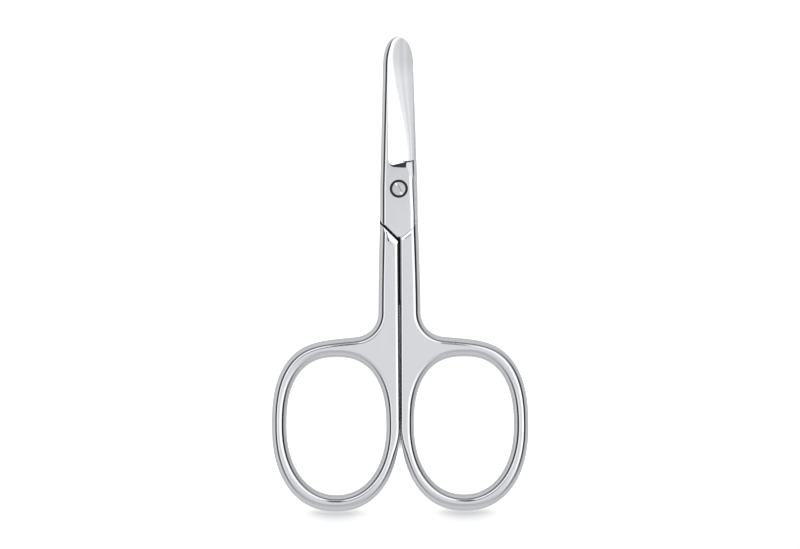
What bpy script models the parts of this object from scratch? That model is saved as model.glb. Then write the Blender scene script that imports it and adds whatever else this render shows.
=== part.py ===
"""Nail scissors, lying flat: two halves forged to one pattern, crossed and held by a slotted screw.

Metres, +Z up. The blades point to +Y and the finger bows to -Y. The handles rest on z = 0.
The upper half has its blade on top and its bow at +X. The lower half is the same forging given
half a turn about the Y direction, so its blade lies underneath and its bow is at -X.
"""

import math

import bmesh
import bpy
import numpy as np
from mathutils import Matrix

# Overall sizes
TIP_Y = 0.0450
BOW_BOTTOM_Y = -0.0450
PIVOT_Y = 0.0162
THICKNESS = 0.0028
LAP_GAP = 0.0002
PLATE_DROP = 0.0001

# Blade and joint plate, seen from above on the upper half. A reach is measured from the centre line.
TIP_LENGTH = 0.0062
TIP_EXPONENT = 2.4
SPINE_TIP_REACH = 0.0029
SPINE_JOINT_REACH = 0.00356
SPINE_FOOT_REACH = 0.00366
EDGE_TIP_REACH = 0.00276
EDGE_HEEL_REACH = 0.00288
PLATE_SIDE_REACH = 0.00291
PLATE_FOOT_REACH = 0.00309
PLATE_WAIST_Y = 0.0118
SPINE_ROUND_WIDTH = 0.0013
SPINE_ROUND_HEIGHT = 0.00095
PLATE_ROUND_WIDTH = 0.00105
PLATE_ROUND_HEIGHT = 0.00038
PLATE_ROUND_FADE = 0.0030
ROUND_START_X = -0.0026
ROUND_END_X = -0.0003
FINE_ROUND = 0.00022

# V shoulder, where the plate of one half ends against the handle of the other
V_ANGLE = math.radians(45.0)
V_TIP_Y = 0.00634
V_GAP = 0.00008
STEP_ANGLE = math.radians(40.5)
STEP_Y = 0.00673
STEP_WIDTH = 0.00062
SIDE_END_X = 0.0029
SIDE_END_ANGLE = math.radians(61.0)
SHOULDER_CHAMFER_WIDTH = 0.00085
SHOULDER_CHAMFER_HEIGHT = 0.00017
V_EDGE_CHAMFER = 0.00016

# Hollow grinding of the blade's outer face
HEEL_Y = 0.0205
HEEL_SKEW_SHARE = 0.24
HEEL_FADE_SHARE = 0.17
HEEL_CORNER_WIDTH = 0.0010
HEEL_CORNER_RISE = 0.0014
HEEL_RAMP_ANGLE = math.radians(24.0)
HEEL_END_ANGLE = math.radians(62.0)
HEEL_TURN_X = 0.00136
HEEL_TURN_WIDTH = 0.0001
HEEL_STRIP = 0.00147
TIP_STRIP = 0.00098
TIP_STRIP_ABOVE = 0.00018
HOLLOW_LIP = 0.00003
HEEL_EDGE_THICKNESS = 0.0006
TIP_EDGE_THICKNESS = 0.00062
HOLLOW_SAG = 0.00006

# Flat facet at the heel, right of the hollow's end, falling to the right, and a steeper bevel outside it
FACET_X = 0.00133
FACET_Y = 0.0210
FACET_HEADING = math.radians(108.0)
FACET_TILT = math.radians(17.0)
FACET_WIDTH = 0.0040
FACET_RUN_UP = 0.0012
FACET_RUN_DOWN = 0.0070
BEVEL_REACH = 0.00137
BEVEL_TURN = math.radians(-17.0)
BEVEL_TILT = math.radians(10.0)

# Handle
INNER_EDGE_GAP = 0.0005
INNER_ROUND_WIDTH = 0.00068
INNER_ROUND_HEIGHT = 0.0002
INNER_ROUND_END_Y = -0.0290
INNER_ROUND_BLEND = 0.0085
HANDLE_ROUND = 0.00145
ROUND_RISE_SHARE = 1.13
SIDE_FLAT = 0.0002
SHANK_TOP_REACH = 0.00355
SHANK_UPPER_REACH = 0.00375
SHANK_LOWER_REACH = 0.00398
SHANK_FOOT_REACH = 0.00403
SHANK_FOOT_Y = -0.0073
FLARE_RADIUS = 0.0046
FLARE_TURN = math.radians(83.0)
SHOULDER_PULL = 0.0032

# Finger bow
BOW_GAP = 0.0003
BOW_WIDTH = 0.02421
BOW_UPPER_HEIGHT = 0.01614
BOW_LOWER_HEIGHT = 0.01625
BOW_UPPER_EXPONENT = 2.5
BOW_LOWER_EXPONENT = 2.25
BOW_JOIN_ANGLE = math.radians(70.0)
RING_INNER_SIDE = 0.0025
RING_OUTER_SIDE = 0.0028
RING_BOTTOM = 0.00315
RING_TOP = 0.0031
HOLE_UPPER_EXPONENT = 2.45
HOLE_LOWER_EXPONENT = 2.15
HOLE_ROUND = 0.00145
RING_ROUND_SHARE = 0.46
HOLE_ROUND_SHARE = 0.52

# Pivot screw
HEAD_RADIUS = 0.00128
HEAD_HEIGHT = 0.00048
HEAD_CHAMFER = 0.00008
HEAD_SEAT_GAP = 0.0001
HEAD_BELOW_FACE = 0.00003
COUNTERBORE_RADIUS = 0.001725
NECK_RADIUS = 0.0010
THREAD_RADIUS = 0.00085
THREAD_CHAMFER = 0.0001
RUNNING_CLEARANCE = 0.00005
NECK_RUN_OUT = 0.00003
SLOT_WIDTH = 0.0004
SLOT_DEPTH = 0.00024
SLOT_ANGLE = math.radians(29.0)

# One overrun serves every cut
OVERRUN = 0.0010
JOIN_OVERLAP = 0.0001
MERGE_DISTANCE = 0.000005
SHARP_ANGLE = math.radians(25.0)

# Facet counts
ROUND_ROWS = 5
STRAIGHT_STEPS = 14
BLEND_STEPS = 9
BOW_STEPS = 30
CURVE_STEPS = 8
TIP_STEPS = 10
HOLLOW_STATIONS = 14
HOLLOW_COLUMNS = 5
CORNER_COLUMNS = 5
TURN_COLUMNS = 2
HOLE_STEPS = 64
TURN_STEPS = 48

# Derived sizes
MID_Z = THICKNESS / 2
LAP_Z = MID_Z + LAP_GAP / 2
PLATE_TOP_Z = THICKNESS - PLATE_DROP
INNER_EDGE_X = INNER_EDGE_GAP / 2
BOW_LEFT_X = BOW_GAP / 2
BOW_HALF_WIDTH = BOW_WIDTH / 2
BOW_X = BOW_LEFT_X + BOW_HALF_WIDTH
BOW_Y = BOW_BOTTOM_Y + BOW_LOWER_HEIGHT
HOLE_HALF_WIDTH = (BOW_WIDTH - RING_INNER_SIDE - RING_OUTER_SIDE) / 2
HOLE_X = BOW_LEFT_X + RING_INNER_SIDE + HOLE_HALF_WIDTH
HOLE_UPPER_HEIGHT = BOW_UPPER_HEIGHT - RING_TOP
HOLE_LOWER_HEIGHT = BOW_LOWER_HEIGHT - RING_BOTTOM
ROUND_HEIGHT_LIMIT = (THICKNESS - SIDE_FLAT) / 2
TIP_START_Y = TIP_Y - TIP_LENGTH
HANDLE_END_Y = STEP_Y + SHANK_FOOT_REACH + HANDLE_ROUND + OVERRUN
PLATE_FOOT_Y = V_TIP_Y - PLATE_FOOT_REACH * math.tan(V_ANGLE) - OVERRUN
HEEL_DEPTH = PLATE_TOP_Z - LAP_Z - HEEL_EDGE_THICKNESS
TIP_DEPTH = PLATE_TOP_Z - LAP_Z - TIP_EDGE_THICKNESS
CUT_REACH = 2 * (TIP_Y - BOW_BOTTOM_Y)


def clear_scene():
    for obj in list(bpy.data.objects):
        bpy.data.objects.remove(obj, do_unlink=True)


def new_collection(name):
    collection = bpy.data.collections.new(name)
    bpy.context.scene.collection.children.link(collection)
    return collection


def steel(name, colour, roughness):
    """A bare metal with one colour and one roughness."""
    material = bpy.data.materials.new(name)
    material.use_nodes = True
    shader = material.node_tree.nodes["Principled BSDF"]
    shader.inputs["Base Color"].default_value = (*colour, 1.0)
    shader.inputs["Metallic"].default_value = 1.0
    shader.inputs["Roughness"].default_value = roughness
    material.diffuse_color = (*colour, 1.0)
    return material


def add_object(name, mesh, collection):
    obj = bpy.data.objects.new(name, mesh)
    collection.objects.link(obj)
    return obj


def as_cutter(obj):
    obj.hide_render = True
    obj.display_type = "WIRE"
    return obj


def boolean(obj, cutter, operation="DIFFERENCE"):
    modifier = obj.modifiers.new(cutter.name, "BOOLEAN")
    modifier.operation = operation
    modifier.solver = "EXACT"
    modifier.object = cutter


def evaluated_mesh(obj, name):
    """The object's shape with its modifiers, as a mesh of its own."""
    bpy.context.view_layer.update()
    graph = bpy.context.evaluated_depsgraph_get()
    mesh = bpy.data.meshes.new_from_object(obj.evaluated_get(graph))
    mesh.name = name
    return mesh


def smooth_step(value):
    value = np.clip(value, 0.0, 1.0)
    return value * value * (3 - 2 * value)


def line(start, end, steps):
    """Points from start towards end, which is left to the next stretch."""
    share = np.arange(steps)[:, None] / steps
    return np.array(start) * (1 - share) + np.array(end) * share


def bezier(start, start_pull, end_pull, end, steps):
    share = np.arange(steps)[:, None] / steps
    rest = 1 - share
    from_start = rest**3 * np.array(start) + 3 * rest**2 * share * np.array(start_pull)
    from_end = 3 * rest * share**2 * np.array(end_pull) + share**3 * np.array(end)
    return from_start + from_end


def arc(centre, radius, start, end, steps):
    angle = start + (end - start) * np.arange(steps) / steps
    return np.array(centre) + radius * np.column_stack([np.cos(angle), np.sin(angle)])


def superellipse(centre, half_width, half_height, exponent, start, end, steps):
    """A stretch of a rounded square, by polar angle about its centre."""
    angle = start + (end - start) * np.arange(steps) / steps
    across = np.abs(np.cos(angle) / half_width) ** exponent
    along = np.abs(np.sin(angle) / half_height) ** exponent
    reach = (across + along) ** (-1 / exponent)
    return np.array(centre) + np.column_stack([reach * np.cos(angle), reach * np.sin(angle)])


def inward(loop):
    """For each point, the shift that moves both of its edges in by one unit. Material is on the left."""
    before = loop - np.roll(loop, 1, axis=0)
    after = np.roll(loop, -1, axis=0) - loop
    sides = []
    for edge in (before, after):
        length = np.linalg.norm(edge, axis=1, keepdims=True)
        sides.append(np.column_stack([-edge[:, 1], edge[:, 0]]) / length)
    spread = 1 + np.sum(sides[0] * sides[1], axis=1, keepdims=True)
    return (sides[0] + sides[1]) / spread


def round_rings(loop, width, height, z_low, z_high, below):
    """Rings of points up the side of a loop, with a rounded upper edge and, if asked, a lower one."""
    shift = inward(loop)
    rings = []
    turns = [row * math.pi / 2 / ROUND_ROWS for row in range(ROUND_ROWS + 1)]
    if below:
        for turn in reversed(turns):
            plan = loop + shift * (width * (1 - math.cos(turn)))[:, None]
            rings.append(np.column_stack([plan, z_low + height * (1 - math.sin(turn))]))
    else:
        rings.append(np.column_stack([loop, np.full(len(loop), z_low)]))
    for turn in turns:
        plan = loop + shift * (width * (1 - math.cos(turn)))[:, None]
        rings.append(np.column_stack([plan, z_high - height * (1 - math.sin(turn))]))
    return rings


def rounded_plate(name, walls):
    """A flat plate from the rings of its outer wall and of its holes, closed above and below."""
    bm = bmesh.new()
    lower_edges = []
    upper_edges = []
    for rings in walls:
        rows = [[bm.verts.new(point) for point in ring] for ring in rings]
        count = len(rows[0])
        for low, high in zip(rows, rows[1:]):
            for at in range(count):
                to = (at + 1) % count
                bm.faces.new((low[at], low[to], high[to], high[at]))
        for row, edges in ((rows[0], lower_edges), (rows[-1], upper_edges)):
            edges.extend(bm.edges.get((row[at], row[(at + 1) % count])) for at in range(count))
    for edges in (lower_edges, upper_edges):
        bmesh.ops.triangle_fill(bm, use_beauty=True, use_dissolve=False, edges=edges)
    bmesh.ops.recalc_face_normals(bm, faces=bm.faces)
    mesh = bpy.data.meshes.new(name)
    bm.to_mesh(mesh)
    bm.free()
    return mesh


def slab(name, point, heading, tilt, above, collection):
    """A large block with one face through a point, along a heading, tilted about that heading."""
    bm = bmesh.new()
    bmesh.ops.create_cube(bm, size=CUT_REACH)
    lift = CUT_REACH / 2 if above else -CUT_REACH / 2
    place = Matrix.Translation(point) @ Matrix.Rotation(heading, 4, "Z") @ Matrix.Rotation(tilt, 4, "X")
    bm.transform(place @ Matrix.Translation((0, 0, lift)))
    mesh = bpy.data.meshes.new(name)
    bm.to_mesh(mesh)
    bm.free()
    return as_cutter(add_object(name, mesh, collection))


def wall(name, point, heading, z_low, z_high, collection):
    """A block that takes everything to the left of a line, between two heights."""
    bm = bmesh.new()
    bmesh.ops.create_cube(bm, size=1.0)
    size = Matrix.Diagonal((CUT_REACH, CUT_REACH, z_high - z_low, 1.0))
    middle = (0, CUT_REACH / 2, (z_low + z_high) / 2)
    place = Matrix.Translation((*point, 0)) @ Matrix.Rotation(heading, 4, "Z")
    bm.transform(place @ Matrix.Translation(middle) @ size)
    mesh = bpy.data.meshes.new(name)
    bm.to_mesh(mesh)
    bm.free()
    return as_cutter(add_object(name, mesh, collection))


def prism(name, corners, z_low, z_high, collection):
    """An upright block over a ring of corners, between two heights."""
    bm = bmesh.new()
    low, high = [[bm.verts.new((*corner, z)) for corner in corners] for z in (z_low, z_high)]
    bm.faces.new(low)
    bm.faces.new(high)
    for at in range(len(corners)):
        to = (at + 1) % len(corners)
        bm.faces.new((low[at], low[to], high[to], high[at]))
    bmesh.ops.recalc_face_normals(bm, faces=bm.faces)
    mesh = bpy.data.meshes.new(name)
    bm.to_mesh(mesh)
    bm.free()
    return as_cutter(add_object(name, mesh, collection))


def facet_places():
    """The facet beside the heel, and the bevel that starts along a line across it."""
    turned = Matrix.Rotation(FACET_HEADING, 4, "Z") @ Matrix.Rotation(FACET_TILT, 4, "X")
    facet = Matrix.Translation((FACET_X, FACET_Y, PLATE_TOP_Z)) @ turned
    turned = Matrix.Rotation(BEVEL_TURN, 4, "Z") @ Matrix.Rotation(BEVEL_TILT, 4, "X")
    return facet, facet @ Matrix.Translation((0, -BEVEL_REACH, 0)) @ turned


def facet_block(name, place, collection):
    """A block whose lower face starts at a line and falls to its right."""
    bm = bmesh.new()
    bmesh.ops.create_cube(bm, size=1.0)
    middle = Matrix.Translation(((FACET_RUN_UP - FACET_RUN_DOWN) / 2, -FACET_WIDTH / 2, FACET_WIDTH / 2))
    size = Matrix.Diagonal((FACET_RUN_UP + FACET_RUN_DOWN, FACET_WIDTH, FACET_WIDTH, 1.0))
    bm.transform(place @ middle @ size)
    mesh = bpy.data.meshes.new(name)
    bm.to_mesh(mesh)
    bm.free()
    return as_cutter(add_object(name, mesh, collection))


def turned(name, profile, collection):
    """A turned solid about the pivot axis, from radius and height pairs that run down its outer side."""
    bm = bmesh.new()
    points = [bm.verts.new((radius, 0, height)) for radius, height in profile]
    for upper, lower in zip(points, points[1:]):
        bm.edges.new((upper, lower))
    mesh = bpy.data.meshes.new(name)
    bm.to_mesh(mesh)
    bm.free()
    obj = add_object(name, mesh, collection)
    obj.location = (0, PIVOT_Y, 0)
    screw = obj.modifiers.new("turn", "SCREW")
    screw.angle = 2 * math.pi
    screw.steps = TURN_STEPS
    screw.render_steps = TURN_STEPS
    screw.use_merge_vertices = True
    screw.merge_threshold = MERGE_DISTANCE
    return obj


def taper(y, low_y, low_width, high_y, high_width):
    share = (y - low_y) / (high_y - low_y)
    return low_width + (high_width - low_width) * share


def plate_outline():
    """The blade and joint plate, counterclockwise from the foot of its right side."""
    right = np.concatenate(
        [
            line((PLATE_FOOT_REACH, PLATE_FOOT_Y), (PLATE_FOOT_REACH, PLATE_WAIST_Y), CURVE_STEPS),
            line((PLATE_FOOT_REACH, PLATE_WAIST_Y), (PLATE_SIDE_REACH, PIVOT_Y), CURVE_STEPS),
            line((PLATE_SIDE_REACH, PIVOT_Y), (EDGE_HEEL_REACH, HEEL_Y), CURVE_STEPS),
            line((EDGE_HEEL_REACH, HEEL_Y), (EDGE_TIP_REACH, TIP_START_Y), STRAIGHT_STEPS),
        ]
    )
    centre = (0, TIP_START_Y)
    quarter = math.pi / 2
    tip_right = superellipse(centre, EDGE_TIP_REACH, TIP_LENGTH, TIP_EXPONENT, 0, quarter, TIP_STEPS)
    tip_left = superellipse(
        centre, SPINE_TIP_REACH, TIP_LENGTH, TIP_EXPONENT, quarter, 2 * quarter, TIP_STEPS
    )
    left = np.concatenate(
        [
            line((-SPINE_TIP_REACH, TIP_START_Y), (-SPINE_JOINT_REACH, PIVOT_Y), STRAIGHT_STEPS),
            line((-SPINE_JOINT_REACH, PIVOT_Y), (-SPINE_FOOT_REACH, PLATE_FOOT_Y), CURVE_STEPS),
            [(-SPINE_FOOT_REACH, PLATE_FOOT_Y)],
        ]
    )
    return np.concatenate([right, tip_right, tip_left, left])


def plate_rounding(outline):
    """Width and height of the rounded upper edge along the plate: full on the spine, fine on the edge."""
    x, y = outline.T
    around_tip = smooth_step((x - ROUND_START_X) / (ROUND_END_X - ROUND_START_X))
    width = SPINE_ROUND_WIDTH + (FINE_ROUND - SPINE_ROUND_WIDTH) * around_tip
    height = SPINE_ROUND_HEIGHT + (FINE_ROUND - SPINE_ROUND_HEIGHT) * around_tip
    past_heel = smooth_step((y - HEEL_Y - OVERRUN) / PLATE_ROUND_FADE)
    side_width = PLATE_ROUND_WIDTH + (FINE_ROUND - PLATE_ROUND_WIDTH) * past_heel
    side_height = PLATE_ROUND_HEIGHT + (FINE_ROUND - PLATE_ROUND_HEIGHT) * past_heel
    on_right = (x > 0) & (y < TIP_START_Y)
    return np.where(on_right, side_width, width), np.where(on_right, side_height, height)


def handle_outline():
    """The handle and bow, counterclockwise from the top of the inner edge."""
    centre = (BOW_X, BOW_Y)
    inner_top = (INNER_EDGE_X, HANDLE_END_Y)
    half_turn = math.pi
    under = superellipse(
        centre, BOW_HALF_WIDTH, BOW_LOWER_HEIGHT, BOW_LOWER_EXPONENT, half_turn, 2 * half_turn, 2 * BOW_STEPS
    )
    over = superellipse(
        centre, BOW_HALF_WIDTH, BOW_UPPER_HEIGHT, BOW_UPPER_EXPONENT, 0, BOW_JOIN_ANGLE, BOW_STEPS
    )
    join, past_join = superellipse(
        centre, BOW_HALF_WIDTH, BOW_UPPER_HEIGHT, BOW_UPPER_EXPONENT, BOW_JOIN_ANGLE, math.pi / 2, BOW_STEPS
    )[:2]
    join_heading = (past_join - join) / np.linalg.norm(past_join - join)
    flare_centre = (SHANK_FOOT_REACH + FLARE_RADIUS, SHANK_FOOT_Y)
    flare_end_angle = math.pi + FLARE_TURN
    flare = arc(flare_centre, FLARE_RADIUS, flare_end_angle, math.pi, CURVE_STEPS)
    flare_heading = np.array([math.sin(flare_end_angle), -math.cos(flare_end_angle)])
    shoulder = bezier(
        join,
        join + join_heading * SHOULDER_PULL,
        flare[0] - flare_heading * SHOULDER_PULL,
        flare[0],
        BLEND_STEPS,
    )
    shank = bezier(
        (SHANK_FOOT_REACH, SHANK_FOOT_Y),
        (SHANK_LOWER_REACH, SHANK_FOOT_Y * 2 / 3 + HANDLE_END_Y / 3),
        (SHANK_UPPER_REACH, SHANK_FOOT_Y / 3 + HANDLE_END_Y * 2 / 3),
        (SHANK_TOP_REACH, HANDLE_END_Y),
        STRAIGHT_STEPS,
    )
    return np.concatenate(
        [
            line(inner_top, (BOW_LEFT_X, BOW_Y), STRAIGHT_STEPS),
            under,
            over,
            shoulder,
            flare,
            shank,
            [(SHANK_TOP_REACH, HANDLE_END_Y)],
        ]
    )


def heading_of(angle):
    return np.array([math.cos(angle), math.sin(angle)])


def handle_end_corners():
    """Left of the V step's line, and left of a steeper line that lets the rounded side run on past it."""
    along = heading_of(STEP_ANGLE)
    start = np.array([INNER_EDGE_X, STEP_Y]) + heading_of(STEP_ANGLE + math.pi / 2) * JOIN_OVERLAP
    bend = start + along * (SIDE_END_X - start[0]) / along[0]
    low_end = bend - along * CUT_REACH
    high_end = bend + heading_of(SIDE_END_ANGLE) * CUT_REACH
    return [low_end, bend, high_end, (-CUT_REACH, CUT_REACH)]


def hole_outline():
    """The finger hole, clockwise, so that the metal is on its left."""
    centre = (HOLE_X, BOW_Y)
    half_turn = math.pi
    under = superellipse(
        centre, HOLE_HALF_WIDTH, HOLE_LOWER_HEIGHT, HOLE_LOWER_EXPONENT, 0, -half_turn, HOLE_STEPS // 2
    )
    over = superellipse(
        centre, HOLE_HALF_WIDTH, HOLE_UPPER_HEIGHT, HOLE_UPPER_EXPONENT, half_turn, 0, HOLE_STEPS // 2
    )
    return np.concatenate([under, over])


def nearest(points, loop):
    """The distance from each point to the nearest point of a loop."""
    return np.linalg.norm(points[:, None] - loop[None], axis=2).min(axis=1)


def handle_rounding(outline, hole):
    """Edge rounding of the handle and bow: full outside, fine on the inner edge, and shared on the ring."""
    x, y = outline.T
    down_inner = smooth_step((INNER_ROUND_END_Y - y) / INNER_ROUND_BLEND)
    middle_x = (INNER_EDGE_X + SHANK_TOP_REACH) / 2
    inner = np.where(x < middle_x, 1 - down_inner, 0.0)
    wanted = HANDLE_ROUND + (INNER_ROUND_WIDTH - HANDLE_ROUND) * inner
    width = np.minimum(wanted, RING_ROUND_SHARE * nearest(outline, hole))
    hole_width = np.minimum(HOLE_ROUND, HOLE_ROUND_SHARE * nearest(hole, outline))
    heights = [np.minimum(ROUND_HEIGHT_LIMIT, ROUND_RISE_SHARE * each) for each in (width, hole_width)]
    height = heights[0] + (INNER_ROUND_HEIGHT - heights[0]) * inner
    return width, height, hole_width, heights[1]


def hollow_sides(y):
    """Where the hollow begins beside the strip along the spine, and the cutting edge, at each height."""
    straight_spine = taper(y, PIVOT_Y, SPINE_JOINT_REACH, TIP_START_Y, SPINE_TIP_REACH)
    strip = taper(y, HEEL_Y, HEEL_STRIP, TIP_START_Y, TIP_STRIP)
    rise = np.clip((y - TIP_START_Y) / (TIP_LENGTH - TIP_STRIP_ABOVE), 0.0, 1.0)
    around_tip = (SPINE_TIP_REACH - TIP_STRIP) * (1 - rise**TIP_EXPONENT) ** (1 / TIP_EXPONENT)
    left = np.where(y > TIP_START_Y, -around_tip, strip - straight_spine)
    return left, taper(y, HEEL_Y, EDGE_HEEL_REACH, TIP_START_Y, EDGE_TIP_REACH)


def hollow_columns():
    """Shares of the hollow's width, closer together at its rounded corner and where the ramp steepens."""
    left, edge = hollow_sides(HEEL_Y)
    width = edge + OVERRUN - left
    corner = HEEL_CORNER_WIDTH / width * (1 - np.cos(np.linspace(0.0, math.pi / 2, CORNER_COLUMNS)))
    turn = (HEEL_TURN_X + HEEL_TURN_WIDTH * np.linspace(0.0, 1.0, TURN_COLUMNS) - left) / width
    return np.unique(np.concatenate([corner, turn, np.linspace(0.0, 1.0, HOLLOW_COLUMNS)]))


def hollow_cutter(collection):
    """The grinding wheel's track: a shallow trough that twists towards the tip, with a ramp at its heel."""
    along = np.linspace(0.0, 1.0, HOLLOW_STATIONS)
    stations = HEEL_Y + (TIP_Y + OVERRUN - HEEL_Y) * np.sin(along * math.pi / 2)
    across = hollow_columns()

    def trough(y, heel):
        left, edge = hollow_sides(y)
        right = edge + OVERRUN
        share = across * (right - left) / (edge - left)
        depth = HEEL_DEPTH + (TIP_DEPTH - HEEL_DEPTH) * (y - HEEL_Y) / (TIP_Y - HEEL_Y)
        deep = HOLLOW_LIP + depth * share + 4 * HOLLOW_SAG * share * (1 - share)
        x = left + (right - left) * across
        skew = HEEL_SKEW_SHARE * (x - left)
        corner = np.clip((x - left) / HEEL_CORNER_WIDTH, 0.0, 1.0)
        rise = HEEL_CORNER_RISE * (1 - np.sqrt(1 - (1 - corner) ** 2))
        return x, y + (skew + rise) * heel, deep

    rows = []
    x, foot_y, deep = trough(HEEL_Y, 1.0)
    steepened = smooth_step((x - HEEL_TURN_X) / HEEL_TURN_WIDTH)
    ramp_angle = HEEL_RAMP_ANGLE + (HEEL_END_ANGLE - HEEL_RAMP_ANGLE) * steepened
    ramp_y = foot_y - (deep + OVERRUN) / np.tan(ramp_angle)
    rows.append(np.column_stack([x, ramp_y, np.full(len(x), PLATE_TOP_Z + OVERRUN)]))
    for y, fade in zip(stations, 1 - smooth_step(along / HEEL_FADE_SHARE)):
        x, y_row, deep = trough(y, fade)
        rows.append(np.column_stack([x, y_row, PLATE_TOP_Z - deep]))

    bm = bmesh.new()
    low = [[bm.verts.new(point) for point in row] for row in rows]
    high_z = PLATE_TOP_Z + 2 * OVERRUN
    high = [[bm.verts.new((point[0], point[1], high_z)) for point in row] for row in rows]
    for grid in (low, high):
        for row, after in zip(grid, grid[1:]):
            for at in range(len(across) - 1):
                bm.faces.new((row[at], row[at + 1], after[at + 1], after[at]))
    for at in range(len(across) - 1):
        for end in (0, -1):
            bm.faces.new((low[end][at], low[end][at + 1], high[end][at + 1], high[end][at]))
    for at in range(len(rows) - 1):
        for side in (0, -1):
            bm.faces.new((low[at][side], low[at + 1][side], high[at + 1][side], high[at][side]))
    bmesh.ops.recalc_face_normals(bm, faces=bm.faces)
    mesh = bpy.data.meshes.new("hollow_grind")
    bm.to_mesh(mesh)
    bm.free()
    return as_cutter(add_object("hollow_grind", mesh, collection))


def forged_half(cutters):
    """One forging, as the upper half lies: blade and plate on top, handle and bow at full thickness."""
    outline = plate_outline()
    width, height = plate_rounding(outline)
    plate_rings = round_rings(outline, width, height, MID_Z - LAP_GAP, PLATE_TOP_Z, below=False)
    plate = as_cutter(add_object("blade_blank", rounded_plate("blade_blank", [plate_rings]), cutters))

    rim = handle_outline()
    hole = hole_outline()
    width, height, hole_width, hole_height = handle_rounding(rim, hole)
    rim_rings = round_rings(rim, width, height, 0, THICKNESS, below=True)
    hole_rings = round_rings(hole, hole_width, hole_height, 0, THICKNESS, below=True)
    handle_mesh = rounded_plate("handle_blank", [rim_rings, hole_rings])
    handle = as_cutter(add_object("handle_blank", handle_mesh, cutters))

    v_tip = np.array([INNER_EDGE_X, V_TIP_Y])
    below_z = -OVERRUN
    above_z = THICKNESS + OVERRUN
    back_slope = math.pi - V_ANGLE
    edge_point = (*(v_tip + [0, V_EDGE_CHAMFER / math.cos(V_ANGLE)]), PLATE_TOP_Z)
    boolean(plate, wall("v_end", v_tip, back_slope, below_z, above_z, cutters))
    boolean(plate, slab("v_chamfer", edge_point, back_slope, -math.pi / 4, True, cutters))

    step_point = (INNER_EDGE_X, STEP_Y, PLATE_TOP_Z)
    step_tilt = -math.atan2(PLATE_DROP, STEP_WIDTH)
    shoulder = v_tip - heading_of(V_ANGLE + math.pi / 2) * V_GAP
    chamfer_point = (*shoulder, SHOULDER_CHAMFER_HEIGHT)
    chamfer_tilt = math.atan2(SHOULDER_CHAMFER_HEIGHT, SHOULDER_CHAMFER_WIDTH)
    boolean(handle, prism("handle_end", handle_end_corners(), below_z, above_z, cutters))
    boolean(handle, slab("plate_step", step_point, STEP_ANGLE, step_tilt, True, cutters))
    boolean(handle, slab("shoulder_chamfer", chamfer_point, V_ANGLE, chamfer_tilt, False, cutters))

    facet, bevel = facet_places()
    boolean(handle, plate, "UNION")
    boolean(handle, wall("lap", shoulder, V_ANGLE, below_z, LAP_Z, cutters))
    boolean(handle, hollow_cutter(cutters))
    boolean(handle, facet_block("heel_facet", facet, cutters))
    boolean(handle, facet_block("heel_bevel", bevel, cutters))
    return evaluated_mesh(handle, "scissor_half")


def place_half(name, forging, material, turn, bore, collection):
    """A half with its origin on the pivot axis at mid thickness, turned about the Y direction and bored."""
    mesh = forging.copy()
    mesh.transform(Matrix.Translation((0, -PIVOT_Y, -MID_Z)))
    obj = add_object(name, mesh, collection)
    obj.location = (0, PIVOT_Y, MID_Z)
    obj.rotation_euler = (0, turn, 0)
    boolean(obj, bore)
    bored = evaluated_mesh(obj, name)
    obj.modifiers.clear()
    obj.data = bored
    bored.materials.clear()
    bored.materials.append(material)
    bored.shade_smooth()
    bored.set_sharp_from_angle(angle=SHARP_ANGLE)


def pivot_screw(material, collection, cutters):
    """A slotted shoulder screw: a flat head, a plain neck and a threaded end for the lower half."""
    head_top = PLATE_TOP_Z - HEAD_BELOW_FACE
    head_low = head_top - HEAD_HEIGHT
    neck_low = MID_Z - LAP_GAP / 2 + NECK_RUN_OUT
    end_z = PLATE_DROP + HEAD_BELOW_FACE
    profile = [
        (0, head_top),
        (HEAD_RADIUS - HEAD_CHAMFER, head_top),
        (HEAD_RADIUS, head_top - HEAD_CHAMFER),
        (HEAD_RADIUS, head_low),
        (NECK_RADIUS, head_low),
        (NECK_RADIUS, neck_low),
        (THREAD_RADIUS, neck_low),
        (THREAD_RADIUS, end_z + THREAD_CHAMFER),
        (THREAD_RADIUS - THREAD_CHAMFER, end_z),
        (0, end_z),
    ]
    screw = turned("pivot_screw", profile, collection)
    screw.data.materials.append(material)
    bm = bmesh.new()
    bmesh.ops.create_cube(bm, size=1.0)
    slot_size = Matrix.Diagonal((SLOT_WIDTH, 2 * COUNTERBORE_RADIUS, 2 * SLOT_DEPTH, 1.0))
    place = Matrix.Translation((0, PIVOT_Y, head_top)) @ Matrix.Rotation(SLOT_ANGLE, 4, "Z")
    bm.transform(place @ slot_size)
    mesh = bpy.data.meshes.new("screw_slot")
    bm.to_mesh(mesh)
    bm.free()
    boolean(screw, as_cutter(add_object("screw_slot", mesh, cutters)))
    return head_low


def bore_cutters(head_low, cutters):
    """The stepped bore of the upper half, and the screw's hole in the lower half."""
    floor_z = head_low - HEAD_SEAT_GAP
    upper = turned(
        "upper_bore",
        [
            (0, THICKNESS + OVERRUN),
            (COUNTERBORE_RADIUS, THICKNESS + OVERRUN),
            (COUNTERBORE_RADIUS, floor_z),
            (NECK_RADIUS + RUNNING_CLEARANCE, floor_z),
            (NECK_RADIUS + RUNNING_CLEARANCE, MID_Z),
            (0, MID_Z),
        ],
        cutters,
    )
    lower = turned(
        "lower_bore",
        [
            (0, MID_Z),
            (THREAD_RADIUS + RUNNING_CLEARANCE, MID_Z),
            (THREAD_RADIUS + RUNNING_CLEARANCE, -OVERRUN),
            (0, -OVERRUN),
        ],
        cutters,
    )
    return as_cutter(upper), as_cutter(lower)


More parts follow.
